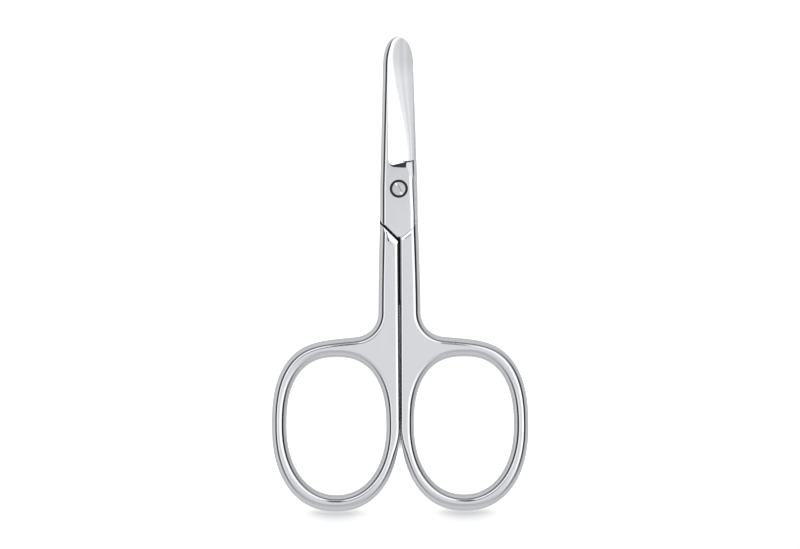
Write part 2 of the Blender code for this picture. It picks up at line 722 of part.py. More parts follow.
def main():
    clear_scene()
    parts = new_collection("nail_scissors")
    cutters = new_collection("cutters")
    half_steel = steel("polished_steel", (0.80, 0.81, 0.82), 0.12)
    lower_steel = steel("polished_steel_lower", (0.78, 0.79, 0.80), 0.14)
    screw_steel = steel("brushed_screw_steel", (0.70, 0.71, 0.72), 0.30)

    forging = forged_half(cutters)
    head_low = pivot_screw(screw_steel, parts, cutters)
    upper_bore, lower_bore = bore_cutters(head_low, cutters)
    place_half("upper_half", forging, half_steel, 0, upper_bore, parts)
    place_half("lower_half", forging, lower_steel, math.pi, lower_bore, parts)


main()
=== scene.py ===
"""Looks of the nail scissors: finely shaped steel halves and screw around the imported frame.

Metres, +Z up. The blades point to +Y. The upper half has its blade on top and its bow at +X, and the
lower half is the same forging given half a turn about the Y direction.
"""

import math

import bmesh
import bpy
import numpy as np
from mathutils import Matrix, Vector
from mathutils.bvhtree import BVHTree
from mathutils.interpolate import poly_3d_calc

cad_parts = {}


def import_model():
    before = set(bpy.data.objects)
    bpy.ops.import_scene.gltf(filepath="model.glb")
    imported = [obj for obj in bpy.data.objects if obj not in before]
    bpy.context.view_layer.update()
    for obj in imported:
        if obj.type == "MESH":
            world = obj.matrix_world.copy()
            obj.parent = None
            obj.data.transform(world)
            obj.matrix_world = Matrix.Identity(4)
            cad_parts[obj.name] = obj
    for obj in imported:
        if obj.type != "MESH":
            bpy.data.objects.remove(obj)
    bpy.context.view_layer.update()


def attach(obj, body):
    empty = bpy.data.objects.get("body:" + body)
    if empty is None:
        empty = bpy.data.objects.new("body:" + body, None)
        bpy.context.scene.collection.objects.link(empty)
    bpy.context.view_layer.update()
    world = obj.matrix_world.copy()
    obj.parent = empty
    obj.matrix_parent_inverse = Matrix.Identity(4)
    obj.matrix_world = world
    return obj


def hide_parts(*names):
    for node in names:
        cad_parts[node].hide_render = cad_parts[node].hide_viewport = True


# Overall sizes, as in the CAD source
TIP_Y = 0.0450
BOW_BOTTOM_Y = -0.0450
PIVOT_Y = 0.0162
THICKNESS = 0.0028
LAP_GAP = 0.0002
PLATE_DROP = 0.0001

# Blade and joint plate, seen from above on the upper half. A reach is measured from the centre line.
TIP_LENGTH = 0.0062
TIP_EXPONENT = 2.4
SPINE_TIP_REACH = 0.0029
SPINE_JOINT_REACH = 0.00356
SPINE_FOOT_REACH = 0.00366
EDGE_TIP_REACH = 0.00276
EDGE_HEEL_REACH = 0.00288
PLATE_SIDE_REACH = 0.00291
PLATE_FOOT_REACH = 0.00309
PLATE_WAIST_Y = 0.0118
SPINE_ROUND_WIDTH = 0.0013
SPINE_ROUND_HEIGHT = 0.00095
PLATE_ROUND_WIDTH = 0.00105
PLATE_ROUND_HEIGHT = 0.00038
PLATE_ROUND_FADE = 0.0030
ROUND_START_X = -0.0026
ROUND_END_X = -0.0003
FINE_ROUND = 0.00022

# V shoulder, where the plate of one half ends against the handle of the other
V_ANGLE = math.radians(45.0)
V_TIP_Y = 0.00634
V_GAP = 0.00008
STEP_ANGLE = math.radians(40.5)
STEP_Y = 0.00673
STEP_WIDTH = 0.00062
SIDE_END_X = 0.0029
SIDE_END_ANGLE = math.radians(61.0)
SHOULDER_CHAMFER_WIDTH = 0.00085
SHOULDER_CHAMFER_HEIGHT = 0.00017
V_EDGE_CHAMFER = 0.00016

# Hollow grinding of the blade's outer face
HEEL_Y = 0.0205
HEEL_SKEW_SHARE = 0.24
HEEL_FADE_SHARE = 0.17
HEEL_CORNER_WIDTH = 0.0010
HEEL_CORNER_RISE = 0.0014
HEEL_RAMP_ANGLE = math.radians(24.0)
HEEL_END_ANGLE = math.radians(62.0)
HEEL_TURN_X = 0.00136
HEEL_TURN_WIDTH = 0.0001
HEEL_STRIP = 0.00147
TIP_STRIP = 0.00098
TIP_STRIP_ABOVE = 0.00018
HOLLOW_LIP = 0.00003
HEEL_EDGE_THICKNESS = 0.0006
TIP_EDGE_THICKNESS = 0.00062
HOLLOW_SAG = 0.00006

# Finish of the hollow: bright and steeper left of a border, nearly flat right of it
SHINE_TIP_X = -0.00115
SHINE_HEEL_X = 0.00165
SHINE_TIP_Y = 0.0415
SHINE_HEEL_Y = 0.0220
SHINE_BLEND = 0.0003
SHINE_MIDDLE = math.radians(4.5)
SHINE_SWING = math.radians(3.5)
SHINE_STEEPENING = math.radians(1300.0)
SHINE_LIP = math.radians(13.0)
SHINE_LIP_WIDTH = 0.0011

# Flat facet at the heel, right of the hollow's end, falling to the right
FACET_X = 0.00133
FACET_Y = 0.0210
FACET_HEADING = math.radians(108.0)
FACET_TILT = math.radians(17.0)
FACET_WIDTH = 0.0040
FACET_RUN_UP = 0.0012
FACET_RUN_DOWN = 0.0070
BEVEL_REACH = 0.00137
BEVEL_TURN = math.radians(-17.0)
BEVEL_TILT = math.radians(10.0)

# Handle
INNER_EDGE_GAP = 0.0005
INNER_ROUND_WIDTH = 0.00068
INNER_ROUND_HEIGHT = 0.0002
INNER_ROUND_END_Y = -0.0290
INNER_ROUND_BLEND = 0.0085
HANDLE_ROUND = 0.00145
ROUND_RISE_SHARE = 1.13
SIDE_FLAT = 0.0002
SHANK_TOP_REACH = 0.00355
SHANK_UPPER_REACH = 0.00375
SHANK_LOWER_REACH = 0.00398
SHANK_FOOT_REACH = 0.00403
SHANK_FOOT_Y = -0.0073
FLARE_RADIUS = 0.0046
FLARE_TURN = math.radians(83.0)
SHOULDER_PULL = 0.0032

# Finger bow
BOW_GAP = 0.0003
BOW_WIDTH = 0.02421
BOW_UPPER_HEIGHT = 0.01614
BOW_LOWER_HEIGHT = 0.01625
BOW_UPPER_EXPONENT = 2.5
BOW_LOWER_EXPONENT = 2.25
BOW_JOIN_ANGLE = math.radians(70.0)
RING_INNER_SIDE = 0.0025
RING_OUTER_SIDE = 0.0028
RING_BOTTOM = 0.00315
RING_TOP = 0.0031
HOLE_UPPER_EXPONENT = 2.45
HOLE_LOWER_EXPONENT = 2.15
HOLE_ROUND = 0.00145
RING_ROUND_SHARE = 0.46
HOLE_ROUND_SHARE = 0.52

# Pivot screw
HEAD_RADIUS = 0.00128
HEAD_HEIGHT = 0.00048
HEAD_CHAMFER = 0.00008
HEAD_SEAT_GAP = 0.0001
HEAD_BELOW_FACE = 0.00003
HEAD_CROWN = 0.00002
COUNTERBORE_RADIUS = 0.001725
NECK_RADIUS = 0.0010
THREAD_RADIUS = 0.00085
THREAD_CHAMFER = 0.0001
RUNNING_CLEARANCE = 0.00005
NECK_RUN_OUT = 0.00003
SLOT_WIDTH = 0.0004
SLOT_DEPTH = 0.00025
SAW_RADIUS = 0.030
SCORE_WIDTH = 0.00007
SCORE_DEPTH = 0.00017
SCORE_RADIUS = 0.0022
# Reach from the pivot where the slot's painted highlight is full and where it starts
SLOT_HIGHLIGHT_FULL_REACH = 0.0009
SLOT_HIGHLIGHT_START_REACH = 0.0005
SLOT_ANGLE = math.radians(29.0)
SCREW_SHARP_ANGLE = math.radians(20.0)

# One overrun serves every cut
OVERRUN = 0.0010
JOIN_OVERLAP = 0.0001

# Facet counts
ROUND_ROWS = 14
STRAIGHT_STEPS = 60
BLEND_STEPS = 40
BOW_STEPS = 90
CURVE_STEPS = 30
TIP_STEPS = 50
HOLLOW_STATIONS = 90
HOLLOW_COLUMNS = 40
CORNER_COLUMNS = 12
TURN_COLUMNS = 3
HOLE_STEPS = 240
TURN_STEPS = 160

# Derived sizes
MID_Z = THICKNESS / 2
LAP_Z = MID_Z + LAP_GAP / 2
PLATE_TOP_Z = THICKNESS - PLATE_DROP
INNER_EDGE_X = INNER_EDGE_GAP / 2
BOW_LEFT_X = BOW_GAP / 2
BOW_HALF_WIDTH = BOW_WIDTH / 2
BOW_X = BOW_LEFT_X + BOW_HALF_WIDTH
BOW_Y = BOW_BOTTOM_Y + BOW_LOWER_HEIGHT
HOLE_HALF_WIDTH = (BOW_WIDTH - RING_INNER_SIDE - RING_OUTER_SIDE) / 2
HOLE_X = BOW_LEFT_X + RING_INNER_SIDE + HOLE_HALF_WIDTH
HOLE_UPPER_HEIGHT = BOW_UPPER_HEIGHT - RING_TOP
HOLE_LOWER_HEIGHT = BOW_LOWER_HEIGHT - RING_BOTTOM
ROUND_HEIGHT_LIMIT = (THICKNESS - SIDE_FLAT) / 2
HEAD_TOP_Z = PLATE_TOP_Z - HEAD_BELOW_FACE
TIP_START_Y = TIP_Y - TIP_LENGTH
HANDLE_END_Y = STEP_Y + SHANK_FOOT_REACH + HANDLE_ROUND + OVERRUN
PLATE_FOOT_Y = V_TIP_Y - PLATE_FOOT_REACH * math.tan(V_ANGLE) - OVERRUN
HEEL_DEPTH = PLATE_TOP_Z - LAP_Z - HEEL_EDGE_THICKNESS
TIP_DEPTH = PLATE_TOP_Z - LAP_Z - TIP_EDGE_THICKNESS
CUT_REACH = 2 * (TIP_Y - BOW_BOTTOM_Y)

# Brightness of the hollow's flat part across its width, from its border to the cutting edge: grinding
# streaks with painted reflection bands
STREAK_AND_SHEEN_STOPS = [(0.0, 1.0), (0.10, 0.93), (0.28, 1.0), (0.45, 0.83), (0.60, 0.96), (0.75, 0.82), (1.0, 0.78)]

# The streaks follow the grinding and wander by a share of that width
STREAK_WANDER = 0.04
STREAK_STRETCH = (1600.0, 110.0, 1600.0)
GRIND_TURN = 0.06

# Towards the tip the hollow's colour is darker
TIP_DARKENING = (0.86, 0.86, 0.86, 1.0)
TIP_DARKENING_START_Y = 0.0362
TIP_DARKENING_FULL_Y = 0.0415

# Finishes by material: colour, least and most roughness, stretch and turn of the streaks, depth of the
# scratches and of the waves
BRIGHT_STEEL = (0.625, 0.632, 0.645)
DULL_STEEL = (0.56, 0.565, 0.575)
# Near-black steel paints the shade in the bores and along the score beside the screw's slot
SHADE_PAINTED_STEEL = (0.05, 0.05, 0.053)
FINE_STREAKS = (900.0, 160.0, 900.0)
LONG_STREAKS = (9000.0, 260.0, 9000.0)
BRUSH_STREAKS = (9000.0, 500.0, 9000.0)
FINISHES = {
    "half_polish": (BRIGHT_STEEL, (0.06, 0.11), FINE_STREAKS, 0.0, 3e-7, 3e-6),
    # The hollow's colour is lighter than the polish's, to carry its painted reflection bands
    "hollow_ground": ((0.79, 0.798, 0.812), (0.10, 0.17), LONG_STREAKS, GRIND_TURN, 8e-7, 3e-6),
    "edge_cut": (BRIGHT_STEEL, (0.12, 0.2), FINE_STREAKS, 0.0, 6e-7, 3e-6),
    "lap_ground": (DULL_STEEL, (0.2, 0.3), LONG_STREAKS, math.pi / 2, 1.5e-6, 3e-6),
    "bore_painted_shade": (SHADE_PAINTED_STEEL, (0.4, 0.5), FINE_STREAKS, 0.0, 1e-6, 2e-6),
    # The heel's step and the fine grooves are near black: painted shade
    "ramp_painted_shade": ((0.07, 0.07, 0.075), (0.3, 0.42), FINE_STREAKS, 0.3, 2e-6, 6e-6),
    "screw_brushed": (DULL_STEEL, (0.24, 0.36), BRUSH_STREAKS, -SLOT_ANGLE, 1.5e-6, 2e-6),
    "screw_slot": (DULL_STEEL, (0.24, 0.36), BRUSH_STREAKS, -SLOT_ANGLE, 1e-6, 2e-6),
    "screw_score": (SHADE_PAINTED_STEEL, (0.4, 0.5), BRUSH_STREAKS, -SLOT_ANGLE, 1e-6, 2e-6),
}
NOISE_LOW = 0.25
NOISE_HIGH = 0.75
STREAK_DETAIL = 3.0
WANDER_SCALE = 700.0
WANDER_DARKEST = 0.97
WAVE_SCALE = 260.0
WAVE_DETAIL = 1.0

# Painted shade on the steel beside the slit and in the V gap, and a painted highlight at the slot's ends. A
# pair is where a shade starts and where it is full.
SLIT_EDGE = (0.00034, 0.00026)
SLIT_TOP_Y = (0.0072, 0.0070)
SLIT_FOOT_Y = (-0.0300, -0.0270)
SLIT_UPPER_Y = (-0.0062, -0.0046)
SLIT_UPPER_NARROWING = 0.00005
SLIT_SHADE_TINT = (0.03, 0.03, 0.032, 1.0)
SLIT_ROUGHER = 0.4
GAP_SHADE_EDGE = (0.00062, 0.00052)
GAP_SHADE_TINT = (0.012, 0.012, 0.013, 1.0)
GAP_SHADE_ROUGHER = 0.3
SLOT_HIGHLIGHT_TINT = (0.95, 0.955, 0.965, 1.0)

# Floor. It glows a little where the camera sees it, less towards the bows' bottoms so that the lamp's
# shadow shows only there, and has painted shade in the cracks between the closed handles.
WHITE = (1.0, 1.0, 1.0, 1.0)
FLOOR_REACH = 1.5
FLOOR_DROP = 2e-5
FLOOR_TINT = (0.85, 0.85, 0.85, 1.0)
FLOOR_MIRRORED_TINT = (0.06, 0.06, 0.06, 1.0)
FLOOR_GLOW = 0.10
FLOOR_LIFT = 0.55
FLOOR_MIRRORED = 0.74
FLOOR_DIM_Y = -0.0456
FLOOR_BRIGHT_Y = -0.0440
CRACK_SHADE_TINT = (0.04, 0.04, 0.04, 1.0)
CRACK_REACH = 0.0025
CRACK_SAMPLES = 24
CRACK_OPENNESS = (0.13, 0.2)
SLIT_FLOOR_EDGE = (0.0006, 0.0004)
SLIT_FLOOR_SHADE = 0.25

# Soft light from the tips' side, for the shadows below the bows
LAMP_PLACE = (0.0, 0.22, 0.35)
LAMP_SIZE = 0.25
LAMP_POWER = 1.0

# Studio light by the tilt in degrees of a surface that mirrors it straight up, on four sides. At the full
# tilt a surface mirrors what lies straight below. The guard keeps a division from meeting zero.
FULL_TILT = 90.0
SKY_TINT = (1.0, 1.01, 1.03, 1.0)
SKY_BRIGHTEST = 1.9
NEAR_SPREAD = 1.4
POLE_GUARD = 1e-6
LEFT_STOPS = [
    *[(0.0, 1.12), (1.5, 1.10), (3.5, 0.98), (6.0, 1.05), (9.0, 1.50), (12.5, 1.55)],
    *[(15.0, 0.9), (17.0, 0.04), (26.0, 0.04), (29.0, 0.55), (33.0, 0.98), (45.0, 0.95)],
]
RIGHT_STOPS = [
    *[(0.0, 1.12), (2.0, 1.12), (6.0, 1.70), (9.0, 1.90), (16.5, 1.90), (18.0, 1.3)],
    *[(19.5, 0.03), (31.5, 0.03), (34.5, 0.5), (38.0, 0.78), (45.0, 0.72)],
]
FAR_STOPS = [
    *[(0.0, 1.12), (4.0, 1.12), (6.5, 1.6), (12.5, 1.6), (14.5, 0.5)],
    *[(16.0, 0.28), (22.0, 0.28), (26.0, 0.85), (45.0, 0.9)],
]
NEAR_STOPS = [(0.0, 1.12), (3.0, 0.95), (7.5, 0.68), (12.0, 0.68), (19.0, 0.77), (33.0, 0.9), (45.0, 0.87)]

# Two dark shapes beyond the tips: a narrow boom straight ahead and a wider flag turned towards -X. Each has
# cosines of the headings where it starts and is full, tilts in degrees where it starts, is full, is still
# full and ends, and its darkness.
BOOM = ((0.982, 0.991), (0.4, 1.1, 11.0, 12.5), 0.97)
FLAG = ((0.78, 0.87), (0.8, 1.5, 4.6, 6.0), 0.92)
FLAG_TURN = math.radians(27.0)

# Fine grooves, near black as painted shade, along the V step above, beside the shoulder below and along
# the heel's step: start, end, width
GROOVES = [
    ((0.00025, 0.00673, PLATE_TOP_Z), (0.0023, 0.00848, PLATE_TOP_Z), 0.00007),
    ((0.0023, 0.00848, PLATE_TOP_Z), (0.0029, 0.00899, PLATE_TOP_Z - 0.00013), 0.00007),
    ((0.00110, 0.00666, THICKNESS), (0.00221, 0.00756, THICKNESS), 0.00013),
    ((0.00240, 0.00799, 0.000115), (0.00216, 0.00693, 0.0), 0.00016),
    ((0.00216, 0.00693, 0.0), (0.00201, 0.00628, 0.0), 0.00024),
    ((0.00201, 0.00628, 0.0), (0.00132, 0.00553, 0.0), 0.00006),
    ((0.00080, 0.02134, 0.002262), (0.00205, 0.02140, 0.002138), 0.00017),
    ((0.00200, 0.02121, 0.002486), (0.00262, 0.02140, 0.002270), 0.00014),
]

# Surfaces of a half, by the operation that makes them
HANDLE, PLATE, TROUGH, CUT, LAP, BORE, RAMP = range(7)

# Surfaces of the screw
HEAD, SLOT, SCORE = range(3)

# The photograph, in pixels of its 800 by 549 frame
IMAGE_WIDTH_PX = 800
IMAGE_CENTRE_PX = (400.0, 274.5)
AXIS_AT_CENTRE_PX = 399.3
ZERO_Y_PX = 274.1
PX_PER_METRE = 5267.0
AXIS_LEAN = math.radians(0.32)
CAMERA_DISTANCE = 1.2
SENSOR_WIDTH = 36.0
CLIP_START = 0.01
CLIP_END = 10.0


def steps_between(start, end, steps):
    return start + (end - start) * np.arange(steps) / steps


def smooth_step(value):
    value = np.clip(value, 0.0, 1.0)
    return value * value * (3 - 2 * value)


def line(start, end, steps):
    """Points from start towards end, which is left to the next stretch."""
    share = np.arange(steps)[:, None] / steps
    return np.array(start) * (1 - share) + np.array(end) * share


def bezier(start, start_pull, end_pull, end, steps):
    share = np.arange(steps)[:, None] / steps
    rest = 1 - share
    from_start = rest**3 * np.array(start) + 3 * rest**2 * share * np.array(start_pull)
    from_end = 3 * rest * share**2 * np.array(end_pull) + share**3 * np.array(end)
    return from_start + from_end


def arc(centre, radius, start, end, steps):
    angle = steps_between(start, end, steps)
    return np.array(centre) + radius * np.column_stack([np.cos(angle), np.sin(angle)])


def superellipse(centre, half_width, half_height, exponent, start, end, steps):
    """A stretch of a rounded square, by polar angle about its centre."""
    angle = steps_between(start, end, steps)
    across = np.abs(np.cos(angle) / half_width) ** exponent
    along = np.abs(np.sin(angle) / half_height) ** exponent
    reach = (across + along) ** (-1 / exponent)
    return np.array(centre) + np.column_stack([reach * np.cos(angle), reach * np.sin(angle)])


def unit(rows):
    return rows / np.linalg.norm(rows, axis=1, keepdims=True)


def inward(loop):
    """For each point, the shift that moves both of its edges in by one unit. Material is on the left."""
    before = loop - np.roll(loop, 1, axis=0)
    after = np.roll(loop, -1, axis=0) - loop
    sides = []
    for edge in (before, after):
        sides.append(unit(np.column_stack([-edge[:, 1], edge[:, 0]])))
    spread = 1 + np.sum(sides[0] * sides[1], axis=1, keepdims=True)
    return (sides[0] + sides[1]) / spread


def nearest(points, loop):
    """The distance from each point to the nearest point of a loop."""
    return np.linalg.norm(points[:, None] - loop[None], axis=2).min(axis=1)


def taper(y, low_y, low_reach, high_y, high_reach):
    share = (y - low_y) / (high_y - low_y)
    return low_reach + (high_reach - low_reach) * share


def plate_outline():
    """The blade and joint plate, counterclockwise from the foot of its right side."""
    centre = (0, TIP_START_Y)
    quarter = math.pi / 2
    return np.concatenate(
        [
            line((PLATE_FOOT_REACH, PLATE_FOOT_Y), (PLATE_FOOT_REACH, PLATE_WAIST_Y), STRAIGHT_STEPS),
            line((PLATE_FOOT_REACH, PLATE_WAIST_Y), (PLATE_SIDE_REACH, PIVOT_Y), CURVE_STEPS),
            line((PLATE_SIDE_REACH, PIVOT_Y), (EDGE_HEEL_REACH, HEEL_Y), CURVE_STEPS),
            line((EDGE_HEEL_REACH, HEEL_Y), (EDGE_TIP_REACH, TIP_START_Y), STRAIGHT_STEPS),
            superellipse(centre, EDGE_TIP_REACH, TIP_LENGTH, TIP_EXPONENT, 0, quarter, TIP_STEPS),
            superellipse(centre, SPINE_TIP_REACH, TIP_LENGTH, TIP_EXPONENT, quarter, 2 * quarter, TIP_STEPS),
            line((-SPINE_TIP_REACH, TIP_START_Y), (-SPINE_JOINT_REACH, PIVOT_Y), STRAIGHT_STEPS),
            line((-SPINE_JOINT_REACH, PIVOT_Y), (-SPINE_FOOT_REACH, PLATE_FOOT_Y), STRAIGHT_STEPS),
            [(-SPINE_FOOT_REACH, PLATE_FOOT_Y)],
        ]
    )


def plate_rounding(outline):
    """Width and height of the rounded upper edge along the plate: full on the spine, fine on the edge."""
    x, y = outline.T
    around_tip = smooth_step((x - ROUND_START_X) / (ROUND_END_X - ROUND_START_X))
    width = SPINE_ROUND_WIDTH + (FINE_ROUND - SPINE_ROUND_WIDTH) * around_tip
    height = SPINE_ROUND_HEIGHT + (FINE_ROUND - SPINE_ROUND_HEIGHT) * around_tip
    past_heel = smooth_step((y - HEEL_Y - OVERRUN) / PLATE_ROUND_FADE)
    side_width = PLATE_ROUND_WIDTH + (FINE_ROUND - PLATE_ROUND_WIDTH) * past_heel
    side_height = PLATE_ROUND_HEIGHT + (FINE_ROUND - PLATE_ROUND_HEIGHT) * past_heel
    on_right = (x > 0) & (y < TIP_START_Y)
    return np.where(on_right, side_width, width), np.where(on_right, side_height, height)


def handle_outline():
    """The handle and bow, counterclockwise from the top of the inner edge."""
    centre = (BOW_X, BOW_Y)
    inner_top = (INNER_EDGE_X, HANDLE_END_Y)
    lower_bow = (centre, BOW_HALF_WIDTH, BOW_LOWER_HEIGHT, BOW_LOWER_EXPONENT)
    upper_bow = (centre, BOW_HALF_WIDTH, BOW_UPPER_HEIGHT, BOW_UPPER_EXPONENT)
    join, past_join = superellipse(*upper_bow, BOW_JOIN_ANGLE, math.pi / 2, BOW_STEPS)[:2]
    join_heading = (past_join - join) / np.linalg.norm(past_join - join)
    flare_centre = (SHANK_FOOT_REACH + FLARE_RADIUS, SHANK_FOOT_Y)
    flare_end_angle = math.pi + FLARE_TURN
    flare = arc(flare_centre, FLARE_RADIUS, flare_end_angle, math.pi, CURVE_STEPS)
    flare_heading = np.array([math.sin(flare_end_angle), -math.cos(flare_end_angle)])
    join_pull = join + join_heading * SHOULDER_PULL
    flare_pull = flare[0] - flare_heading * SHOULDER_PULL
    lower_y = SHANK_FOOT_Y * 2 / 3 + HANDLE_END_Y / 3
    upper_y = SHANK_FOOT_Y / 3 + HANDLE_END_Y * 2 / 3
    shank = bezier(
        (SHANK_FOOT_REACH, SHANK_FOOT_Y),
        (SHANK_LOWER_REACH, lower_y),
        (SHANK_UPPER_REACH, upper_y),
        (SHANK_TOP_REACH, HANDLE_END_Y),
        STRAIGHT_STEPS,
    )
    return np.concatenate(
        [
            line(inner_top, (BOW_LEFT_X, BOW_Y), STRAIGHT_STEPS),
            superellipse(*lower_bow, math.pi, 2 * math.pi, 2 * BOW_STEPS),
            superellipse(*upper_bow, 0, BOW_JOIN_ANGLE, BOW_STEPS),
            bezier(join, join_pull, flare_pull, flare[0], BLEND_STEPS),
            flare,
            shank,
            [(SHANK_TOP_REACH, HANDLE_END_Y)],
        ]
    )


def hole_outline():
    """The finger hole, clockwise, so that the metal is on its left."""
    centre = (HOLE_X, BOW_Y)
    lower = (centre, HOLE_HALF_WIDTH, HOLE_LOWER_HEIGHT, HOLE_LOWER_EXPONENT)
    upper = (centre, HOLE_HALF_WIDTH, HOLE_UPPER_HEIGHT, HOLE_UPPER_EXPONENT)
    under = superellipse(*lower, 0, -math.pi, HOLE_STEPS // 2)
    over = superellipse(*upper, math.pi, 0, HOLE_STEPS // 2)
    return np.concatenate([under, over])


def handle_rounding(outline, hole):
    """Edge rounding of the handle and bow: full outside, fine on the inner edge, and shared on the ring."""
    x, y = outline.T
    down_inner = smooth_step((INNER_ROUND_END_Y - y) / INNER_ROUND_BLEND)
    middle_x = (INNER_EDGE_X + SHANK_TOP_REACH) / 2
    inner = np.where(x < middle_x, 1 - down_inner, 0.0)
    wanted = HANDLE_ROUND + (INNER_ROUND_WIDTH - HANDLE_ROUND) * inner
    width = np.minimum(wanted, RING_ROUND_SHARE * nearest(outline, hole))
    hole_width = np.minimum(HOLE_ROUND, HOLE_ROUND_SHARE * nearest(hole, outline))
    height = np.minimum(ROUND_HEIGHT_LIMIT, ROUND_RISE_SHARE * width)
    hole_height = np.minimum(ROUND_HEIGHT_LIMIT, ROUND_RISE_SHARE * hole_width)
    height = height + (INNER_ROUND_HEIGHT - height) * inner
    return width, height, hole_width, hole_height


def mesh_from(bm, name, surface=None, smooth=False):
    """A bmesh's mesh, with its faces marked as one kind of surface unless they already are."""
    if surface is not None:
        for face in bm.faces:
            face.material_index = surface
            face.smooth = smooth
    mesh = bpy.data.meshes.new(name)
    bm.to_mesh(mesh)
    bm.free()
    return mesh


class Blank:
    """A closed mesh that keeps its exact surface directions, so that cuts from it stay smoothly shaded."""

    def __init__(self, surface):
        self.points = []
        self.directions = []
        self.faces = []
        self.surface = surface

    def add_rings(self, rings, directions):
        """Rows of points joined by quads, each with the surface's own direction."""
        start = len(self.points)
        count = len(rings[0])
        for ring, direction in zip(rings, directions):
            self.points.extend(ring)
            self.directions.extend(direction)
        for row in range(len(rings) - 1):
            low = start + row * count
            high = low + count
            for at in range(count):
                to = (at + 1) % count
                self.faces.append((low + at, low + to, high + to, high + at))
        last = start + (len(rings) - 1) * count
        return range(start, start + count), range(last, last + count)

    def mesh(self, name, loops_low, loops_high):
        """The mesh, with its flat lower and upper faces filled between the given loops."""
        bm = bmesh.new()
        verts = [bm.verts.new(point) for point in self.points]
        for face in self.faces:
            bm.faces.new([verts[at] for at in face])
        for loops in (loops_low, loops_high):
            edges = []
            for loop in loops:
                edges.extend(bm.edges.get((verts[a], verts[b])) for a, b in zip(loop, [*loop[1:], loop[0]]))
            bmesh.ops.triangle_fill(bm, use_beauty=True, use_dissolve=False, edges=edges)
        bmesh.ops.recalc_face_normals(bm, faces=bm.faces)
        mesh = mesh_from(bm, name, self.surface, True)
        mesh.calc_loop_triangles()
        self.keep_triangles([tuple(triangle.vertices) for triangle in mesh.loop_triangles])
        return mesh

    def keep_triangles(self, triangles):
        self.triangles = triangles
        self.tree = BVHTree.FromPolygons(self.points, triangles)

    def direction_at(self, point):
        """The surface's own direction at a point on it."""
        place, _, index, _ = self.tree.find_nearest(point)
        corners = self.triangles[index]
        weights = poly_3d_calc([self.points[at] for at in corners], place)
        total = sum((self.directions[at] * weight for at, weight in zip(corners, weights)), Vector())
        return total.normalized()


def rounded_rings(loop, width, height, z_low, z_high, below):
    """Rings up the side of a loop with their surface directions: rounded above and, if asked, below."""
    shift = inward(loop)
    outward = unit(-shift)
    rings = []
    directions = []

    def add(turn, base_z, sign):
        plan = loop + shift * (width * (1 - math.cos(turn)))[:, None]
        z = base_z - sign * height * (1 - math.sin(turn))
        rings.append([Vector(point) for point in np.column_stack([plan, z])])
        side = outward * (height * math.cos(turn))[:, None]
        full = unit(np.column_stack([side, sign * width * math.sin(turn)]))
        directions.append([Vector(direction) for direction in full])

    turns = [row * math.pi / 2 / ROUND_ROWS for row in range(ROUND_ROWS + 1)]
    if below:
        for turn in reversed(turns):
            add(turn, z_low, -1)
    else:
        rings.append([Vector(point) for point in np.column_stack([loop, np.full(len(loop), z_low)])])
        directions.append([Vector((*direction, 0)) for direction in outward])
    for turn in turns:
        add(turn, z_high, 1)
    return rings, directions


def shine_border(y):
    """Where the bright, steeper part of the hollow ends: far left at the tip and far right at the heel."""
    down = smooth_step((SHINE_TIP_Y - y) / (SHINE_TIP_Y - SHINE_HEEL_Y))
    return SHINE_TIP_X + (SHINE_HEEL_X - SHINE_TIP_X) * down


def shine_slope(x, y):
    """Slope of the hollow towards the cutting edge: steep left of the border and nearly flat right of it."""
    past = x - shine_border(y)
    steep = np.maximum(-past, 0) * SHINE_STEEPENING
    return SHINE_MIDDLE - SHINE_SWING * np.tanh(past / SHINE_BLEND) + steep


def hollow_sides(y):
    """Where the hollow begins beside the strip along the spine, and the cutting edge, at each height."""
    straight_spine = taper(y, PIVOT_Y, SPINE_JOINT_REACH, TIP_START_Y, SPINE_TIP_REACH)
    strip = taper(y, HEEL_Y, HEEL_STRIP, TIP_START_Y, TIP_STRIP)
    rise = np.clip((y - TIP_START_Y) / (TIP_LENGTH - TIP_STRIP_ABOVE), 0.0, 1.0)
    around_tip = (SPINE_TIP_REACH - TIP_STRIP) * (1 - rise**TIP_EXPONENT) ** (1 / TIP_EXPONENT)
    left = np.where(y > TIP_START_Y, -around_tip, strip - straight_spine)
    return left, taper(y, HEEL_Y, EDGE_HEEL_REACH, TIP_START_Y, EDGE_TIP_REACH)


def hollow_columns():
    """Shares of the hollow's width, closer together at its rounded corner and where the ramp steepens."""
    left, edge = hollow_sides(HEEL_Y)
    width = edge + OVERRUN - left
    corner = HEEL_CORNER_WIDTH / width * (1 - np.cos(np.linspace(0.0, math.pi / 2, CORNER_COLUMNS)))
    turn = (HEEL_TURN_X + HEEL_TURN_WIDTH * np.linspace(0.0, 1.0, TURN_COLUMNS) - left) / width
    return np.unique(np.concatenate([corner, turn, np.linspace(0.0, 1.0, HOLLOW_COLUMNS)]))


